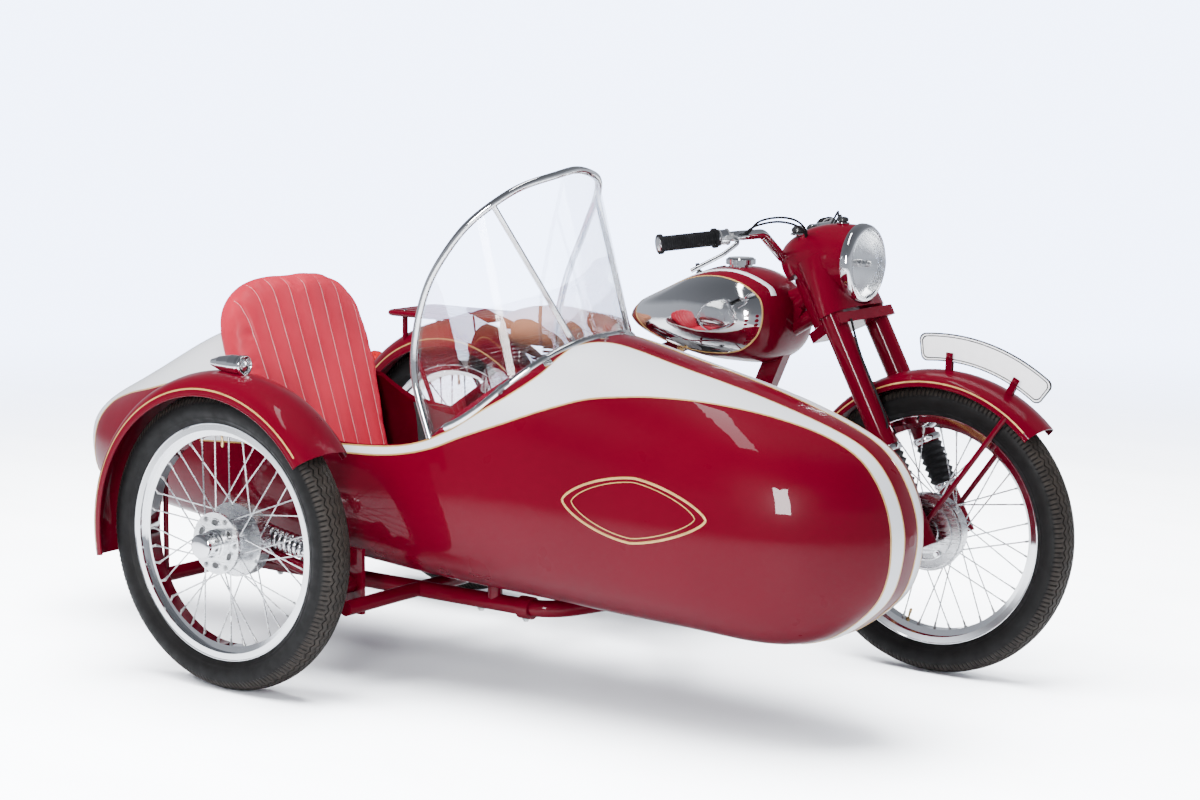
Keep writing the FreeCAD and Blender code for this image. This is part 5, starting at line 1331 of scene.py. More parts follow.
# The rear chain: its line out from the machine's middle, its pitch, and each sprocket's place and radius
CHAIN_Y = 66.5
CHAIN_PITCH = 12.7
REAR_SPROCKET = (0, AXLE_HEIGHT, 88)
ENGINE_SPROCKET = (438, 312, 36)
ROLLER = [(0, -4.3), (1.8, -4.3), (1.8, -1.7), (3.9, -1.7), (3.9, 1.7), (1.8, 1.7), (1.8, 4.3), (0, 4.3)]


def build_chain(values):
    rear, engine = (at(x, CHAIN_Y, z) for x, z, _ in (REAR_SPROCKET, ENGINE_SPROCKET))
    place, total = chain_path(rear, REAR_SPROCKET[2], engine, ENGINE_SPROCKET[2])
    count = int(round(total / (CHAIN_PITCH * MM) / 2)) * 2
    pins = [place(total * i / count) for i in range(count)]
    links, rollers = Batch(), Batch()
    for i, pin in enumerate(pins):
        offset, width = (3.4, 9.6) if i % 2 else (2.2, 10.4)
        after = pins[(i + 1) % count]
        for side in (-1, 1):
            links.add(*link_plate(pin, after, side * offset, width, 1.1))
        rollers.add(*lathe(ROLLER, pin, LEFT, 12))
    chain = add_batch("rear_chain_links", links, "steel", "chassis", "chain_steel")
    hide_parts("rear_chain")
    add_batch("rear_chain_rollers", rollers, "bright_steel", "chassis", "chain_steel")


# The sidecar's spring, in millimetres: coil and wire radius, turns, and the heights of its ends
COIL_RADIUS = 19.2
COIL_WIRE = 4.4
COIL_TURNS = 12
COIL_HEIGHTS = (AXLE_HEIGHT, 292)


def build_sidecar_spring(values):
    low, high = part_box("coil_spring")
    inset = 4.6 * MM
    start = Vector((low.x + inset, (low.y + high.y) / 2, at(0, 0, COIL_HEIGHTS[0]).z))
    end = Vector((high.x - inset, start.y, at(0, 0, COIL_HEIGHTS[1]).z))
    points, faces = helix(start, end, COIL_RADIUS, COIL_WIRE, COIL_TURNS, 24, 10)
    spring = add_piece("sidecar_spring_coil", points, faces, "chrome", "chassis", "bright_chrome")
    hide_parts("coil_spring")
    along = (end - start).normalized()
    length = (end - start).length / MM
    seats = Batch()
    for place, way in ((start, -along), (end, along)):
        seats.add(*lathe([(0, -3), (23.5, -3), (23.5, 3.5), (12, 4.5), (0, 4.5)], place, way, 32))
    seats.add(*lathe([(0, 0), (8, 0), (8, length), (0, length)], start, along, 24))
    add_batch("sidecar_spring_seats", seats, "steel", "chassis", "steel_black")


# Head lamp


# The head lamp, in millimetres from the rim's back: reflector, bulb and bright rim as turned profiles
LAMP_BOWL = [(0, 2.5), (14, 2.6), (30, 3.6), (46, 6.2), (60, 10.5), (70, 15.5), (75.5, 20)]
LAMP_BULB = [(0, 2), (9, 2), (9, 9), (6, 10), (6, 13), (7.5, 17), (8.4, 22), (7, 27), (4, 30), (0, 31)]
LAMP_RIM = [(76.5, 3), (88.8, 0.4), (89.4, 2.5), (89.2, 9), (87.5, 15.5), (84, 20.5), (80, 23), (77, 23.4),
            (76, 21.5), (76, 17)]
GLASS_RADIUS = 77
GLASS_FOOT = 5
GLASS_RISE = 48
GLASS_THICKNESS = 2.6
FLUTE_PITCH = 7.5
FLUTE_DEPTH = 0.55


def build_lamp_glass(face):
    """A domed glass with a plain outer sheet and an inner one that is fluted upright."""
    rings, steps = 30, 144
    points = []
    for thickness, flute_depth in ((0.0, 0.0), (GLASS_THICKNESS, FLUTE_DEPTH)):
        for i in range(rings + 1):
            share = i / rings
            radius = (GLASS_RADIUS - thickness * 0.2) * math.sin(share * math.pi / 2)
            height = GLASS_FOOT + (GLASS_RISE - thickness) * math.cos(share * math.pi / 2) ** 1.15
            for j in range(steps):
                turn = math.tau * j / steps
                out = LEFT * math.cos(turn) + UP * math.sin(turn)
                flute = math.cos(math.tau * radius * math.cos(turn) / FLUTE_PITCH)
                ripple = flute_depth * flute * (1 - share ** 6)
                points.append(face + AHEAD * ((height + ripple) * MM) + out * (radius * MM))
    sheet = ring_faces(rings + 1, steps)
    count = (rings + 1) * steps
    faces = [tuple(reversed(f)) for f in sheet] + [tuple(i + count for i in f) for f in sheet]
    edge = rings * steps
    for j in range(steps):
        after = (j + 1) % steps
        faces.append((edge + j, edge + after, count + edge + after, count + edge + j))
    glass = add_piece("headlamp_fluted_glass", points, faces, "lens_glass", "steering",
                      "lamp_glass", 60)
    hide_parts("headlamp_lens")


def build_headlamp(values):
    low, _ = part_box("headlamp_rim")
    middle = middle_of("headlamp_rim")
    face = Vector((low.x, middle.y, middle.z))
    add_turned("headlamp_reflector", LAMP_BOWL, face, AHEAD, 96, "chrome", "steering",
               "bright_chrome")
    add_turned("headlamp_bulb", LAMP_BULB, face, AHEAD, 24, "bright_steel", "steering",
               "bright_chrome")
    build_lamp_glass(face)
    rim = add_turned("headlamp_bright_rim", LAMP_RIM, face, AHEAD, 128, "chrome", "steering",
                     "bright_chrome")
    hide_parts("headlamp_rim")


# Front plate


# The front plate, in millimetres: its radii from the axle, half its length at the inner one, its corners
PLATE_RADII = (372.0, 432.0)
PLATE_MEAN = sum(PLATE_RADII) / 2
PLATE_REACH = 148.0 / PLATE_RADII[0] * PLATE_MEAN
PLATE_CORNER = 15.0
PLATE_TURN = math.radians(75)
PLATE_SECTION = ((0.0, 0.4), (0.5, 0.4), (0.93, 0.4), (1.0, 0.6), (1.0, 2.4), (0.93, 2.6), (0.5, 2.6),
                 (0.0, 2.6))
PLATE_BEAD = ((0.0, -0.3), (-1.0, 0.6), (-1.0, 2.4), (0.0, 3.3), (1.8, 3.3), (1.8, -0.3), (0.0, -0.3))
PLATE_FOOT_Y = (-2.6, 5.6)
PLATE_FOOT_REACH = 80


def plate_place(along, radius, y):
    """A place on the front plate, given along it, out from the axle and across it."""
    turn = PLATE_TURN - along / PLATE_MEAN
    return wheel_of("front")[0] + wheel_way(turn) * (radius * MM) + LEFT * (y * MM)


def plate_outline(inset):
    """The plate's edge with round corners, in length along and radius."""
    length = PLATE_REACH - inset
    low, high = PLATE_RADII[0] + inset, PLATE_RADII[1] - inset
    bend = PLATE_CORNER - inset * 0.5
    ring = []
    for cx, cr, start in ((length - bend, high - bend, 0), (-length + bend, high - bend, 90),
                          (-length + bend, low + bend, 180), (length - bend, low + bend, 270)):
        for i in range(9):
            turn = math.radians(start + 90 * i / 8)
            ring.append((cx + bend * math.cos(turn), cr + bend * math.sin(turn)))
    full = []
    for a, b in zip(ring, ring[1:] + ring[:1]):
        steps = max(1, int(abs(b[0] - a[0]) / 12))
        for i in range(steps):
            full.append((a[0] + (b[0] - a[0]) * i / steps, a[1] + (b[1] - a[1]) * i / steps))
    return full


def build_plate_border(count):
    border = Batch()
    for y, lift in ((0.35, -0.35), (2.65, 0.35)):
        a, b = plate_outline(5.0), plate_outline(7.2)
        points = []
        for ring, height in ((a, y), (a, y + lift), (b, y + lift), (b, y)):
            points += [plate_place(x, r, height) for x, r in ring]
        border.add(points, ring_faces(4, count))
    points = []
    for inset, y in PLATE_BEAD:
        points += [plate_place(x, r, y) for x, r in plate_outline(inset)]
    border.add(points, ring_faces(len(PLATE_BEAD), count))
    add_batch("front_plate_border", border, "black_line", "steering", "plate_white", 30)


def build_plate_feet():
    """Two feet, each a pair of straps with a rivet and a bolt through them."""
    feet, heads = Batch(), Batch()
    inner = PLATE_RADII[0]
    for side in (-1, 1):
        along = side * PLATE_FOOT_REACH * PLATE_MEAN / inner
        for y in PLATE_FOOT_Y:
            base, top = plate_place(along, inner - 20, y), plate_place(along, inner + 20, y)
            rise = (top - base).normalized()
            across = rise.cross(LEFT).normalized()
            turned = Matrix((across, LEFT, rise)).transposed()
            feet.add(*block((base + top) / 2, (8, 1.6, (top - base).length / MM / 2), turned))
        heads.add(*dome(plate_place(along, inner + 11, -4.2), -LEFT, 6, 4.2, 20))
        heads.add(*bolt(plate_place(along, inner + 11, 7.2), LEFT, 4.5, 4))
    add_batch("front_plate_feet", feet, "enamel", "steering", "paint_red")
    add_batch("front_plate_screws", heads, "enamel", "steering", "paint_red")


def build_front_plate(values):
    edge = plate_outline(0)
    points = []
    for share, y in PLATE_SECTION:
        points += [plate_place(x * share, (r - PLATE_MEAN) * share + PLATE_MEAN, y) for x, r in edge]
    faces = ring_faces(len(PLATE_SECTION), len(edge))
    sheet = add_piece("front_number_plate", points, faces, "plate", "steering", "plate_white", 30)
    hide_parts("front_plate")
    build_plate_border(len(edge))
    build_plate_feet()


# Tank, tail deck, cockpit lining, trim and bolts


def tank_skin():
    return Skin(("fuel_tank",), at(560, 0, 765), at(925, 0, 765))


def power_of(value, share):
    """A sine or cosine raised to a power, with its sign kept, for a squarer or sharper round."""
    return math.copysign(abs(value) ** share, value)


# The tank's chromed panel, in millimetres: its middle, its reach and its rise above and below
PANEL_X = 744
PANEL_Z = 768
PANEL_REACH = 198
PANEL_RISES = (140, 128)
TANK_HALF = 140
# The silver band over the tank's shoulder: ahead, out from the middle, height
RIDGE_LINE = ((528, 116, 800), (570, 100, 840), (640, 84, 866), (740, 74, 890), (840, 74, 890),
              (920, 84, 872), (950, 96, 840))


def panel_rim(steps):
    """The panel's egg-shaped edge, seen from the side."""
    rim = []
    for i in range(steps):
        turn = math.tau * i / steps
        c, s = math.cos(turn), math.sin(turn)
        rise = PANEL_RISES[0] if s > 0 else PANEL_RISES[1]
        rim.append((PANEL_X + PANEL_REACH * power_of(c, 0.85),
                    PANEL_Z + rise * power_of(s, 0.9) * (1 - 0.1 * c)))
    return rim


def build_tank_panels(values):
    skin = tank_skin()
    panels, lines, trims = Batch(), Batch(), Batch()
    steps, rings = 72, 9
    centre_z = PANEL_Z - 2
    rim = panel_rim(steps)
    for side in (-1, 1):
        points = []
        for k in range(rings + 1):
            share = k / rings
            for x, z in rim:
                place = at(PANEL_X + (x - PANEL_X) * share, side * TANK_HALF,
                           centre_z + (z - centre_z) * share)
                points.append(skin.touch(place, 0.8)[0])
        panels.add(points, ring_faces(rings + 1, steps))
        edge = [at(x, side * TANK_HALF, z) for x, z in rim]
        lines.add(*laid_ribbon(skin, edge, 4.0, 0.7, 0.8, closed=True))
        ridge = smooth_line([at(x, side * y, z) for x, y, z in RIDGE_LINE], 8)
        trims.add(*laid_ribbon(skin, ridge, 15.0, 0.5, 0.7))
    add_batch("tank_chrome_panels", panels, "chrome", "chassis", "bright_chrome", 60)
    add_batch("tank_gold_lines", lines, "gold", "chassis", "paint_red", 60)
    add_batch("tank_ridge_bands", trims, "silver", "chassis", "paint_red", 60)


# Border of the silver tail deck, from the seat to the tail's end: ahead, out from the middle, height
DECK_BORDER = ((60, 218, 596), (-20, 222, 606), (-97, 216, 618), (-150, 206, 606), (-274, 178, 576),
               (-387, 141, 552), (-450, 118, 524), (-486, 112, 480), (-505, 112, 430), (-528, 108, 376),
               (-540, 96, 330))


def build_tail_deck(values):
    """A silver deck between the two borders, bowed up in front and back over the tail's end."""
    skin = hull_skin()
    right, left = hull_line(-1, DECK_BORDER), hull_line(1, DECK_BORDER)
    turn_x = at(-380, 0, 0).x
    points = []
    across = 28
    for a, b in zip(right, left):
        behind = max(0.0, min(1.0, (turn_x - a.x) / 0.12))
        for j in range(across + 1):
            share = j / across
            arch = math.sin(math.pi * share)
            place = a.lerp(b, share) + UP * (0.12 * arch * (1 - behind)) - AHEAD * (0.16 * arch * behind)
            points.append(skin.touch(place, values.lift)[0])
    lines = Batch()
    for border in (right, left):
        lines.add(*paint_line(skin, border, values))
    add_piece("tail_silver_deck", points, grid_faces(len(right), across + 1), "silver", "chassis",
              "paint_red", 60)
    add_batch("tail_gold_lines", lines, "gold", "chassis", "paint_red", 60)


# The cockpit's lining: from where to where ahead, the height that it is seen from, and its turn in degrees
LINING_SPAN = (150, 1180)
LINING_EYE = 420
LINING_TURN = (-205, 25)
LINING_GAP = 0.16


def build_cockpit_lining(values):
    """Black lining inside the tub, laid on its inner walls."""
    rows, columns = 26, 40
    walls = Skin(("sidecar_tub", "sidecar_nose"), at(0, HULL_Y, 400), at(900, HULL_Y, 400)).tree
    points = []
    for i in range(rows + 1):
        foot = at(LINING_SPAN[0] + (LINING_SPAN[1] - LINING_SPAN[0]) * i / rows, HULL_Y, LINING_EYE)
        for j in range(columns + 1):
            turn = math.radians(LINING_TURN[0] + (LINING_TURN[1] - LINING_TURN[0]) * j / columns)
            way = Vector((0, math.cos(turn), math.sin(turn)))
            hit, _, _, _ = walls.ray_cast(foot, way)
            points.append(hit - way * (1.2 * MM) if hit else None)
    faces = [f for f in grid_faces(rows + 1, columns + 1) if all(points[i] for i in f)]
    used = {}
    kept = []
    for face in faces:
        for i in face:
            if i not in used:
                used[i] = len(kept)
                kept.append(points[i])
    faces = [tuple(used[i] for i in face) for face in faces]
    faces = [f for f in faces if max((kept[a] - kept[b]).length for a in f for b in f) < LINING_GAP]
    add_piece("cockpit_lining", kept, faces, "lining", "chassis", "seat_leather")


def guard_line(centre, radius, half_width, start, end, steps=96):
    """An arc round a wheel, beside its middle plane, between two angles in degrees."""
    line = []
    for i in range(steps + 1):
        out = wheel_way(math.radians(start + (end - start) * i / steps))
        line.append(centre + out * (radius * MM) + LEFT * (half_width * MM))
    return line


# Node, wheel, body, crown radius, half width, lip radius, and the angles that the lines run between
SIDECAR_CROWN = 363
GUARDS = (("front_mudguard", "front", "steering", 353, 60, 322, 44, 168),
          ("rear_mudguard", "rear", "chassis", 364, 82, 306, 38, 196),
          ("sidecar_mudguard", "sidecar", "chassis", SIDECAR_CROWN, 76, 318, 37, 191))


def guard_stroke(tree, path, centre, side, half, width):
    """A lining stroke where an arc's places meet a guard's side wall."""
    landed = []
    for place in path:
        hit, normal, _, _ = tree.ray_cast(place, LEFT * -side)
        if hit is not None and abs(hit.y - centre.y) > (half - 14) * MM:
            landed.append((hit, normal if normal.dot(LEFT * side) > 0 else -normal))
    points = []
    for i, (place, normal) in enumerate(landed):
        before, after = landed[max(i - 1, 0)][0], landed[min(i + 1, len(landed) - 1)][0]
        across = (after - before).cross(normal).normalized() * (width * 0.45 * MM)
        for share, height in ((-1, 0.05), (0, 0.55), (1, 0.05)):
            points.append(place + across * share + normal * (height * MM))
    return points, grid_faces(len(landed), 3)


def build_guard_lines(values):
    """Gold lining and rolled edges on the three mudguards."""
    for node, wheel, body, crown, half, lip, start, end in GUARDS:
        centre, _ = wheel_of(wheel)
        tree = node_tree(node)
        lines, edges = Batch(), Batch()
        for side in (-1, 1):
            path = guard_line(centre, lip + (crown - lip) * 0.30, side * (half + 30), start + 3, end - 3)
            lines.add(*guard_stroke(tree, path, centre, side, half, values.line_width))
            edges.add(*pipe(guard_line(centre, lip, side * (half - 1), start, end), 2.6, 8))
        add_batch(node + "_gold_lines", lines, "gold", body, "paint_red", 60)
        add_batch(node + "_rolled_edges", edges, "enamel", body, "paint_red", 60)


MARKER_RADIUS = 21


def build_marker_lens(values):
    _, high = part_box("marker_lamp")
    level = AXLE_HEIGHT + SIDECAR_CROWN + MARKER_RADIUS * 0.7
    front = Vector((high.x, middle_of("marker_lamp").y, at(0, 0, level).z))
    for name, profile, steps, finish, slot in (
            ("marker_lens", [(17.5, -6), (17.6, -1), (16.2, 1.2), (12.5, 3.4), (7, 4.9), (0, 5.5)], 40,
             "lens_glass", "lamp_glass"),
            ("marker_ring", [(16.4, -1.5), (17.2, 1.6), (19.2, 2.2), (21.4, 0.6), (21.8, -3), (20.8, -6)],
             48, "chrome", "bright_chrome"),
            ("marker_reflector", [(16.5, -0.5), (12, -3.6), (5, -5.4), (0, -5.8)], 32,
             "chrome", "bright_chrome")):
        add_turned(name, profile, front, AHEAD, steps, finish, "chassis", slot, 60)


# The bar's end and the start of its level part: back from the steering axis, out from the middle, height
BAR_END = (114, 352, 943)
BAR_NECK = (6, 205, 958)
GRIP_RIBS = 22
RIB_PITCH = 5
CLAMP_ALONG = 134
CABLE_RADIUS = 2.6
KNOB_CROWN = (1078, 0, 990)
KNOB_LOW = (982, 33, 952)


def bar_place(side, back, out, z):
    return at(head_line(z) - back, side * out, z)


def build_lever_end(side, brackets, cables, knobs):
    """One lever's bracket with its clamp bands, and its two cables into the lamp housing."""
    end, neck = bar_place(side, *BAR_END), bar_place(side, *BAR_NECK)
    along = (neck - end).normalized()
    clamp = end + along * (CLAMP_ALONG * MM)
    for foot in (0, 20):
        band = [(17.2, foot - 1), (18.6, foot), (18.6, foot + 2), (17.2, foot + 3)]
        brackets.add(*lathe(band, clamp, along, 28))
    root = clamp + along * (11 * MM) + AHEAD * (13.6 * MM)
    turned = Matrix.Rotation(math.atan2(along.y, along.x), 3, "Z")
    brackets.add(*block(root + AHEAD * (8 * MM), (13, 8, 5), turned))
    brackets.add(*bolt(root + AHEAD * (10 * MM) + UP * (5 * MM), UP, 4.2, 4))
    for lift, spread in ((0, 0), (9, 14)):
        start = root + along * ((12 + spread) * MM) + AHEAD * (10 * MM)
        bows = ((966, 188 - spread, 980 + lift), (990, 140 - spread * 0.7, 988 + lift),
                (1008, 94 - spread * 0.5, 980 + lift), (1014, 60 - spread * 0.4, 962 + lift * 0.5),
                (1012, 44, 936))
        route = smooth_line([start, start + along * 0.012 + UP * (3 + lift * 0.3) * MM]
                            + [at(x, side * y, z) for x, y, z in bows], 10)
        cables.add(*pipe(route, CABLE_RADIUS, 8))
        knobs.add(*lathe([(0, 0), (4.5, 0), (4.5, 10), (3.2, 13), (3.2, 18), (0, 18)],
                         start - along * 0.004, along, 14))


def build_housing_knobs():
    """The knob on the lamp housing's crown, and the two lower ones, with their bright rings."""
    tops, rings = Batch(), Batch()
    crown = at(*KNOB_CROWN)
    tops.add(*lathe([(0, 7), (6, 6.6), (11, 4.4), (13, 0.6), (12.4, -3), (9, -5), (9, -9), (0, -9)],
                    crown, UP, 32))
    for side in (-1, 1):
        x, y, z = KNOB_LOW
        low = at(x, side * y, z)
        tops.add(*lathe([(0, 20), (10, 19), (14.5, 15), (15, 9), (12, 5), (12, 0), (0, 0)], low, UP, 32))
        rings.add(*lathe([(0, 22.4), (7, 21.6), (10, 19.6), (11, 18.6)], low, UP, 32))
        rings.add(*lathe([(16.4, 0), (17, 2), (15.6, 5), (12.4, 5.4)], low, UP, 32))
    rings.add(*lathe([(14.5, -9), (15.4, -7.6), (14, -5.8), (9.2, -5.2)], crown, UP, 32))
    add_batch("housing_knobs", tops, "black_line", "steering", "steel_black")
    add_batch("housing_knob_rings", rings, "chrome", "steering", "bright_chrome")


def build_handlebar_trim(values):
    """Grip end discs and ribs, lever brackets, and the cables into the housing."""
    discs, brackets, cables, knobs, ribs = Batch(), Batch(), Batch(), Batch(), Batch()
    for side in (-1, 1):
        end, neck = bar_place(side, *BAR_END), bar_place(side, *BAR_NECK)
        along = (neck - end).normalized()
        discs.add(*lathe([(0, -9.5), (12, -9.2), (15, -8.2), (16, -7), (0, -7)], end, along, 32))
        for i in range(GRIP_RIBS):
            place = end + along * ((6 + i * RIB_PITCH) * MM)
            ribs.add(*lathe([(16.3, 0), (17.3, 0.8), (17.3, 2.2), (16.3, 3)], place, along, 24))
        build_lever_end(side, brackets, cables, knobs)
    add_batch("grip_end_discs", discs, "chrome", "steering", "bright_chrome")
    add_batch("grip_ribs", ribs, "rubber", "steering", "black_rubber")
    add_batch("lever_brackets", brackets, "casting", "steering", "bright_chrome")
    add_batch("control_cables", cables, "rubber", "steering", "black_rubber", 60)
    add_batch("cable_adjusters", knobs, "chrome", "steering", "bright_chrome")
    build_housing_knobs()


def leg_place(z, side):
    """A place on a fork leg's middle line, at a height."""
    return at(head_line(z) + LEG_AHEAD / math.cos(RAKE), side * LEG_SPREAD, z)


def brake_place(x, z, out=0.0):
    """A place on the front brake plate, from the axle, with a height above its face."""
    centre, _ = wheel_of("front")
    low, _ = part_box("front_brake_plate")
    return Vector((centre.x + x * MM, low.y - out * MM, centre.z + z * MM))


# The brake arm's two ends on the brake plate, ahead of the axle and above it
ARM_ROOT = (-38, 34)
ARM_TIP = (-74, 74)


def build_gaiter_collars():
    collars = Batch()
    low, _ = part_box("fork_gaiters")
    for side in (-1, 1):
        collars.add(*lathe([(27.4, -3), (30.5, -2), (32.5, 2), (32.5, 9), (30, 12), (27.4, 13)],
                           leg_place(496, side), STEER_UP, 40))
        collars.add(*lathe([(21.3, -8), (25, -7), (26.5, -4), (26.5, 2), (24, 5), (21.3, 6)],
                           leg_place(low.z / MM + 6, side), STEER_UP, 40))
    add_batch("gaiter_collars", collars, "chrome", "steering", "bright_chrome")


def build_brake_fittings():
    """The brake arm, its bolts, the plate's raised rings and the cable up the leg."""
    root, tip = brake_place(*ARM_ROOT, 6), brake_place(*ARM_TIP, 8)
    arm, bolts, rings = Batch(), Batch(), Batch()
    arm.add(*link_plate(root, tip, 0, 17, 5))
    arm.add(*lathe([(0, 0), (11, 0), (11, 7), (0, 7)], brake_place(*ARM_ROOT), -LEFT, 24))
    add_batch("front_brake_arm", arm, "enamel", "steering", "paint_red")
    bolts.add(*bolt(brake_place(*ARM_ROOT, 8), -LEFT, 6, 6))
    bolts.add(*lathe([(0, 0), (5, 0), (5, 9), (3.5, 11), (0, 11)], brake_place(*ARM_TIP, 3), -LEFT, 16))
    for x, z in ((30, -46), (-14, -54)):
        bolts.add(*bolt(brake_place(x, z, 2), -LEFT, 5.5, 5))
    add_batch("front_brake_bolts", bolts, "chrome", "steering", "bright_chrome")
    for radius, out in ((82, 1.2), (62, 2.6), (30, 4.0)):
        rings.add(*lathe([(radius - 1.8, out - 1.5), (radius - 1.2, out + 0.6), (radius + 1.2, out + 0.6),
                          (radius + 1.8, out - 1.5)], brake_place(0, 0), -LEFT, 96))
    add_batch("front_brake_rings", rings, "alloy", "steering", "hub_alloy")
    route = smooth_line([tip + Vector((0, -0.003, 0)), brake_place(-96, 118, 10), brake_place(-128, 205, 8),
                         leg_place(560, -1) + Vector((0.034, -0.012, 0)),
                         leg_place(700, -1) + Vector((0.036, -0.006, 0)),
                         leg_place(760, -1) + Vector((0.03, 0.01, 0.02))], 12)
    add_piece("front_brake_cable", *pipe(route, 2.8, 8), "rubber", "steering", "black_rubber", 60)


def build_fork_trim(values):
    build_gaiter_collars()
    build_brake_fittings()


# The engine's round covers on each side: ahead, height, radius and number of screws
ENGINE_COVERS = ((604, 312, 79, 8), (474, 312, 60, 6))
SCREW_CIRCLE_SHARE = 0.87
PLUG_X = 604
PLUG_SPREAD = 62
PLUG_BODY = [(0, -1), (10, -1), (10, 5), (7, 6), (7, 9), (5.5, 10), (5, 26), (0, 26)]
PLUG_CAP = [(9, 24), (9.5, 30), (8, 34), (5, 36), (0, 36)]
PETCOCK = [(0, -2), (9, -2), (9, 4), (6, 6), (6, 18), (8, 20), (8, 34), (4, 37), (0, 37)]


def build_cover_trim():
    """Screws round the engine's covers, and a raised ring on each cover."""
    case = node_tree("crankcase")
    screws, rims = Batch(), Batch()
    for side in (-1, 1):
        for x, z, radius, count in ENGINE_COVERS:
            centre = at(x, side * 260, z)
            for i in range(count):
                way = wheel_way(math.tau * (i + 0.5) / count)
                hit, normal = seated(case, centre + way * (radius * SCREW_CIRCLE_SHARE * MM), LEFT * -side)
                if hit is not None and abs(normal.y) > 0.9:
                    screws.add(*dome(hit, normal, 5.2, 3.0, 16))
            hit, _ = seated(case, centre + UP * (20 * MM), LEFT * -side)
            if hit is not None:
                base = Vector((centre.x, hit.y, centre.z))
                share = radius / ENGINE_COVERS[0][2]
                ring = [(58 * share, -1), (59 * share, 1.4), (61.5 * share, 1.4), (62.5 * share, -1)]
                rims.add(*lathe(ring, base, LEFT * side, 72))
    add_batch("engine_cover_screws", screws, "bright_steel", "chassis", "hub_alloy")
    add_batch("engine_cover_rings", rims, "alloy", "chassis", "hub_alloy")


def build_plugs():
    """A sparking plug on each head, with its cap and lead."""
    head = node_tree("cylinder_heads")
    plugs, leads = Batch(), Batch()
    for side in (-1, 1):
        hit, _ = seated(head, at(PLUG_X, side * PLUG_SPREAD, 760), -UP)
        if hit is None:
            continue
        plugs.add(*lathe(PLUG_BODY, hit, UP, 6))
        plugs.add(*lathe(PLUG_CAP, hit, UP, 20))
        top = hit + UP * (34 * MM)
        bends = ((0, 0, 0), (-8, 0, 16), (-50, -12, 12), (-100, -30, -20), (-140, -40, -60))
        route = smooth_line([top + Vector((x, side * y, z)) * MM for x, y, z in bends], 8)
        leads.add(*pipe(route, 3.2, 8))
    add_batch("sparking_plugs", plugs, "bright_steel", "chassis", "steel_black")
    add_batch("plug_leads", leads, "rubber", "chassis", "black_rubber", 60)


def build_petcock():
    """The tap under the tank and its hose to the carburettor."""
    hit, _ = seated(node_tree("fuel_tank"), at(690, -60, 560), UP)
    if hit is None:
        return
    petcock = Batch()
    petcock.add(*lathe(PETCOCK, hit, -UP, 20))
    petcock.add(*block(hit - UP * (26 * MM) - LEFT * (14 * MM), (4, 9, 3)))
    add_batch("petcock", petcock, "brass", "chassis", "bright_chrome")
    bends = ((0, 0, -36), (-4, 4, -70), (-30, 30, -110))
    route = smooth_line([hit + Vector(bend) * MM for bend in bends] + [at(560, -20, 500)], 8)
    add_piece("fuel_hose", *pipe(route, 3.6, 8), "rubber", "chassis", "black_rubber", 60)


def build_engine_trim(values):
    build_cover_trim()
    build_plugs()
    build_petcock()


# The tank's centre trim, ahead of the axle and above the floor, and where its small key stands
TRIM_LINE = ((556, 860), (640, 880), (720, 900), (768, 905))
TRIM_KEY = (700, 0, 900)


def build_tank_top(values):
    """The cap's knurled edge, and the tank's centre trim with its small key."""
    _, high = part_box("tank_cap")
    middle = middle_of("tank_cap")
    knurl = Batch()
    for i in range(36):
        turn = math.tau * i / 36
        out = AHEAD * math.cos(turn) + LEFT * math.sin(turn)
        place = Vector((middle.x, middle.y, high.z - 9 * MM)) + out * (33.4 * MM)
        turned = Matrix((out, UP.cross(out), UP)).transposed()
        knurl.add(*block(place, (1.1, 1.5, 5.5), turned))
    add_batch("tank_cap_knurl", knurl, "chrome", "chassis", "bright_chrome")
    skin = tank_skin()
    line = smooth_line([at(x, 0, z) for x, z in TRIM_LINE], 8)
    add_piece("tank_centre_trim", *laid_ribbon(skin, line, 15, 0.6, 2.2), "alloy", "chassis",
              "bright_chrome", 60)
    key = Batch()
    place, normal = skin.touch(at(*TRIM_KEY), 2.0)
    key.add(*lathe([(0, 0), (8, 0), (8, 4), (5, 5), (5, 9), (0, 9)], place, normal, 24))
    key.add(*block(place + normal * (16 * MM), (1.4, 7, 8)))
    add_batch("tank_trim_key", key, "black_line", "chassis", "steel_black")


# The cowl's round edge, in millimetres: its middle ahead, its reach and half its width
COWL_X = 602
COWL_REACH = 293
COWL_HALF = 250
CLAMP_DEGREES = (8, 34, 60, 84)


def build_screen_trim(values):
    """Clamps and screws along the cowl, that hold the screen's frame to the hull."""
    skin = hull_skin()
    hoop = node_tree("windscreen_frame")
    clamps, screws = Batch(), Batch()
    for side in (-1, 1):
        for degrees in CLAMP_DEGREES:
            turn = math.radians(degrees)
            edge = at(COWL_X + COWL_REACH * math.cos(turn), HULL_Y + side * COWL_HALF * math.sin(turn), 700)
            hit, _, _, _ = hoop.find_nearest(edge, 0.3)
            away = Vector((math.cos(turn) / COWL_REACH, side * math.sin(turn) / COWL_HALF, 0)).normalized()
            seat, normal = skin.touch(hit + away * 0.013, 0)
            if (seat - hit).length > 0.03:
                continue
            screws.add(*bolt(seat, normal, 4.5, 4.0))
            across = normal.orthogonal().normalized()
            turned = Matrix((across, normal.cross(across), normal)).transposed()
            clamps.add(*block(seat + (hit - seat) * 0.35 + normal * (2 * MM), (9, 9, 2.4), turned))
    add_batch("screen_clamps", clamps, "chrome", "chassis", "bright_chrome")
    add_batch("screen_clamp_screws", screws, "chrome", "chassis", "bright_chrome")


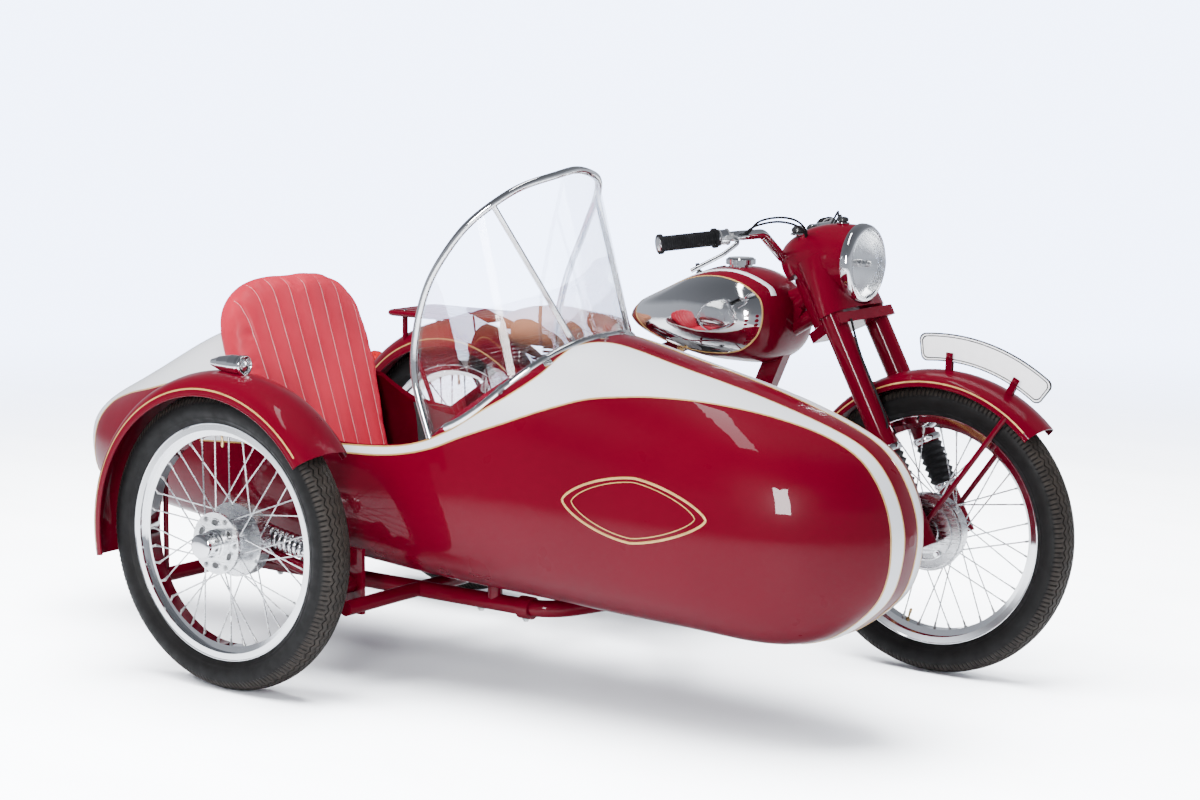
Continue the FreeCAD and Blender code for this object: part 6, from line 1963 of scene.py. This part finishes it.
# Places of small fastenings, in millimetres: axle ends, rack screws, plate screws and chassis bolts
AXLE_END = 134
RACK_SCREWS_X = (-138, 88)
RACK_SCREWS_Y = 66
PLATE_SCREWS = (60, 40)
CHASSIS_BOLTS_X = (-40, 60, 440, 640, 760)
CHASSIS_RAIL_Y = -742


def build_rear_plate_screws():
    low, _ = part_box("rear_plate")
    middle = middle_of("rear_plate")
    tree = node_tree("rear_plate")
    screws = Batch()
    for y in (-PLATE_SCREWS[0], PLATE_SCREWS[0]):
        for z in (-PLATE_SCREWS[1], PLATE_SCREWS[1]):
            seat = Vector((low.x, middle.y + y * MM, middle.z + z * MM))
            hit, _ = seated(tree, seat - AHEAD * 0.05 + LEFT * (5 * MM), AHEAD)
            if hit is not None:
                screws.add(*dome(Vector((hit.x, seat.y, seat.z)), -AHEAD, 5.5, 3, 18))
    add_batch("rear_plate_screws", screws, "chrome", "chassis", "bright_chrome")


def build_axle_nuts(values):
    """The rear axle's nuts, and the rack's, rear plate's and chassis rail's fastenings."""
    nuts, screws, bolts = Batch(), Batch(), Batch()
    for side in (-1, 1):
        nuts.add(*bolt(at(0, side * AXLE_END, AXLE_HEIGHT), LEFT * side, 11, 9))
    add_batch("rear_axle_nuts", nuts, "chrome", "chassis", "bright_chrome")
    rack = node_tree("luggage_rack")
    for x in RACK_SCREWS_X:
        for side in (-1, 1):
            hit, _ = seated(rack, at(x, side * RACK_SCREWS_Y, 760), -UP)
            if hit is not None:
                screws.add(*dome(hit, UP, 5, 3.2, 16))
    add_batch("rack_screws", screws, "chrome", "chassis", "bright_chrome")
    build_rear_plate_screws()
    chassis = node_tree("sidecar_chassis")
    for x in CHASSIS_BOLTS_X:
        hit, _ = seated(chassis, at(x, CHASSIS_RAIL_Y, 120), UP)
        if hit is not None:
            bolts.add(*bolt(hit, -UP, 6, 5))
    add_batch("chassis_bolts", bolts, "bright_steel", "chassis", "steel_black")


# The saddle's springs, in millimetres: their place, feet and tops, and the nose bracket
SADDLE_SPRING = (222, 62)
SPRING_FOOT = 603.8
SADDLE_BASE = 648
SADDLE_NOSE_X = 446


def build_saddle_springs(values):
    """Wound springs in place of the plain sleeves, with the nose bracket's links."""
    wire, links = Batch(), Batch()
    x, y = SADDLE_SPRING
    for side in (-1, 1):
        base, top = at(x, side * y, SPRING_FOOT), at(x, side * y, SADDLE_BASE)
        wire.add(*helix(base, top, 16.5, 3.0, 4.5, 20, 8, 3.0))
        for place in (base, top):
            links.add(*lathe([(0, -2), (19.6, -2), (19.6, 2), (0, 2)], place, UP, 28))
        links.add(*pipe([base, at(372, side * 17, 600)], 6, 12))
    nose = at(SADDLE_NOSE_X, 0, SADDLE_BASE)
    links.add(*pipe([nose - UP * 0.032, nose + UP * 0.006], 11.5, 20))
    links.add(*pipe([nose - UP * 0.028, at(372, 0, 617)], 6, 12))
    springs = add_batch("saddle_spring_wire", wire, "chrome", "chassis", "steel_black", 60)
    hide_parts("saddle_springs")
    add_batch("saddle_spring_links", links, "steel", "chassis", "steel_black")


# The nose's gold lozenge, in millimetres: its middle ahead and up, and half its length and height
LOZENGE = (1130, 470, 160, 62)


def build_ornament(values):
    """A plain gold lozenge with a thin rim on each side of the nose."""
    gold = Batch()
    skin = hull_skin()
    middle_x, middle_z, half_x, half_z = LOZENGE
    for side in (-1, 1):
        for share, width in ((1.0, 5.0), (0.86, 2.2)):
            line = []
            for i in range(72):
                turn = math.tau * i / 72
                x = middle_x + half_x * share * power_of(math.cos(turn), 1.35)
                z = middle_z + half_z * share * power_of(math.sin(turn), 1.35)
                line.append(at(x, HULL_Y + side * 250, z))
            gold.add(*laid_ribbon(skin, line, width, 0.6, 0.5, closed=True))
    add_batch("nose_gold_lozenges", gold, "gold", "chassis", "paint_red", 60)


# Operators


class DresserOperator:
    """Runs its builders in order, each with the values of its group."""
    bl_options = {"REGISTER", "UNDO"}
    group = "outfit_paint"

    def execute(self, context):
        for build in self.builders:
            build(getattr(context.scene, self.group))
        return {"FINISHED"}


class OUTFIT_OT_stage(DresserOperator, bpy.types.Operator):
    """Make the floor, the studio light and the camera"""
    bl_idname = "outfit.stage"
    bl_label = "Stage"
    group = "outfit_stage"
    builders = (build_stage,)


class OUTFIT_OT_finishes(DresserOperator, bpy.types.Operator):
    """Make every finish and give it to the frame's own pieces"""
    bl_idname = "outfit.finishes"
    bl_label = "Finishes"
    builders = (build_finishes,)


class OUTFIT_OT_hull(DresserOperator, bpy.types.Operator):
    """Lay the silver bands, the tail deck, the lining strokes and the nose ornament on the sidecar"""
    bl_idname = "outfit.hull"
    bl_label = "Sidecar paint"
    builders = (build_hull_paint, build_tail_deck, build_ornament)


class OUTFIT_OT_cockpit(DresserOperator, bpy.types.Operator):
    """Line the cockpit and trim the windscreen"""
    bl_idname = "outfit.cockpit"
    bl_label = "Cockpit and screen"
    builders = (build_cockpit_lining, build_screen_trim)


class OUTFIT_OT_seats(DresserOperator, bpy.types.Operator):
    """Pad and sew the sidecar seat and the saddle"""
    bl_idname = "outfit.seats"
    bl_label = "Seats"
    group = "outfit_seat"
    builders = (build_seat_back, build_seat_cushion, build_saddle, build_saddle_springs)


class OUTFIT_OT_wheels(DresserOperator, bpy.types.Operator):
    """Tread the tyres and finish rims, spokes and hubs"""
    bl_idname = "outfit.wheels"
    bl_label = "Wheels"
    group = "outfit_tyre"
    builders = (build_tyres, build_wheel_trim, build_sidecar_hub_cover)


class OUTFIT_OT_guards(DresserOperator, bpy.types.Operator):
    """Line the mudguards, glaze the marker lamp and make the front plate"""
    bl_idname = "outfit.guards"
    bl_label = "Mudguards and plate"
    builders = (build_guard_lines, build_marker_lens, build_front_plate)


class OUTFIT_OT_front(DresserOperator, bpy.types.Operator):
    """Make the head lamp's glass, the bar's fittings and the fork's trim"""
    bl_idname = "outfit.front"
    bl_label = "Lamp, bar and fork"
    builders = (build_headlamp, build_handlebar_trim, build_fork_trim)


class OUTFIT_OT_machine(DresserOperator, bpy.types.Operator):
    """Dress the tank and the engine, wind the spring and link the chain"""
    bl_idname = "outfit.machine"
    bl_label = "Tank, engine and chain"
    builders = (build_tank_panels, build_tank_top, build_engine_trim,
                build_chain, build_sidecar_spring, build_axle_nuts)


class OUTFIT_PT_panel(bpy.types.Panel):
    """Lists the steps that dress the machine"""
    bl_idname = "OUTFIT_PT_panel"
    bl_label = "Sidecar outfit"
    bl_space_type = "VIEW_3D"
    bl_region_type = "UI"
    bl_category = "Outfit"

    def draw(self, context):
        for group in ("outfit_stage", "outfit_paint", "outfit_tyre", "outfit_seat"):
            box = self.layout.box()
            values = getattr(context.scene, group)
            for name in values.__annotations__:
                box.prop(values, name)
        for step in STEPS:
            self.layout.operator(step.bl_idname)


GROUPS = {"outfit_paint": PaintValues, "outfit_tyre": TyreValues, "outfit_seat": SeatValues,
          "outfit_stage": StageValues}
STEPS = (OUTFIT_OT_stage, OUTFIT_OT_finishes, OUTFIT_OT_hull, OUTFIT_OT_cockpit, OUTFIT_OT_seats,
         OUTFIT_OT_wheels, OUTFIT_OT_guards, OUTFIT_OT_front, OUTFIT_OT_machine)


def register():
    for group in GROUPS.values():
        bpy.utils.register_class(group)
    for name, group in GROUPS.items():
        setattr(bpy.types.Scene, name, PointerProperty(type=group))
    for step in (*STEPS, OUTFIT_PT_panel):
        bpy.utils.register_class(step)


def unregister():
    for step in reversed((*STEPS, OUTFIT_PT_panel)):
        bpy.utils.unregister_class(step)
    for name in GROUPS:
        delattr(bpy.types.Scene, name)
    for group in GROUPS.values():
        bpy.utils.unregister_class(group)


def main():
    register()
    for step in (bpy.ops.outfit.stage, bpy.ops.outfit.finishes, bpy.ops.outfit.hull, bpy.ops.outfit.cockpit,
                 bpy.ops.outfit.seats, bpy.ops.outfit.wheels, bpy.ops.outfit.guards, bpy.ops.outfit.front,
                 bpy.ops.outfit.machine):
        step()


if __name__ == "__main__":
    main()
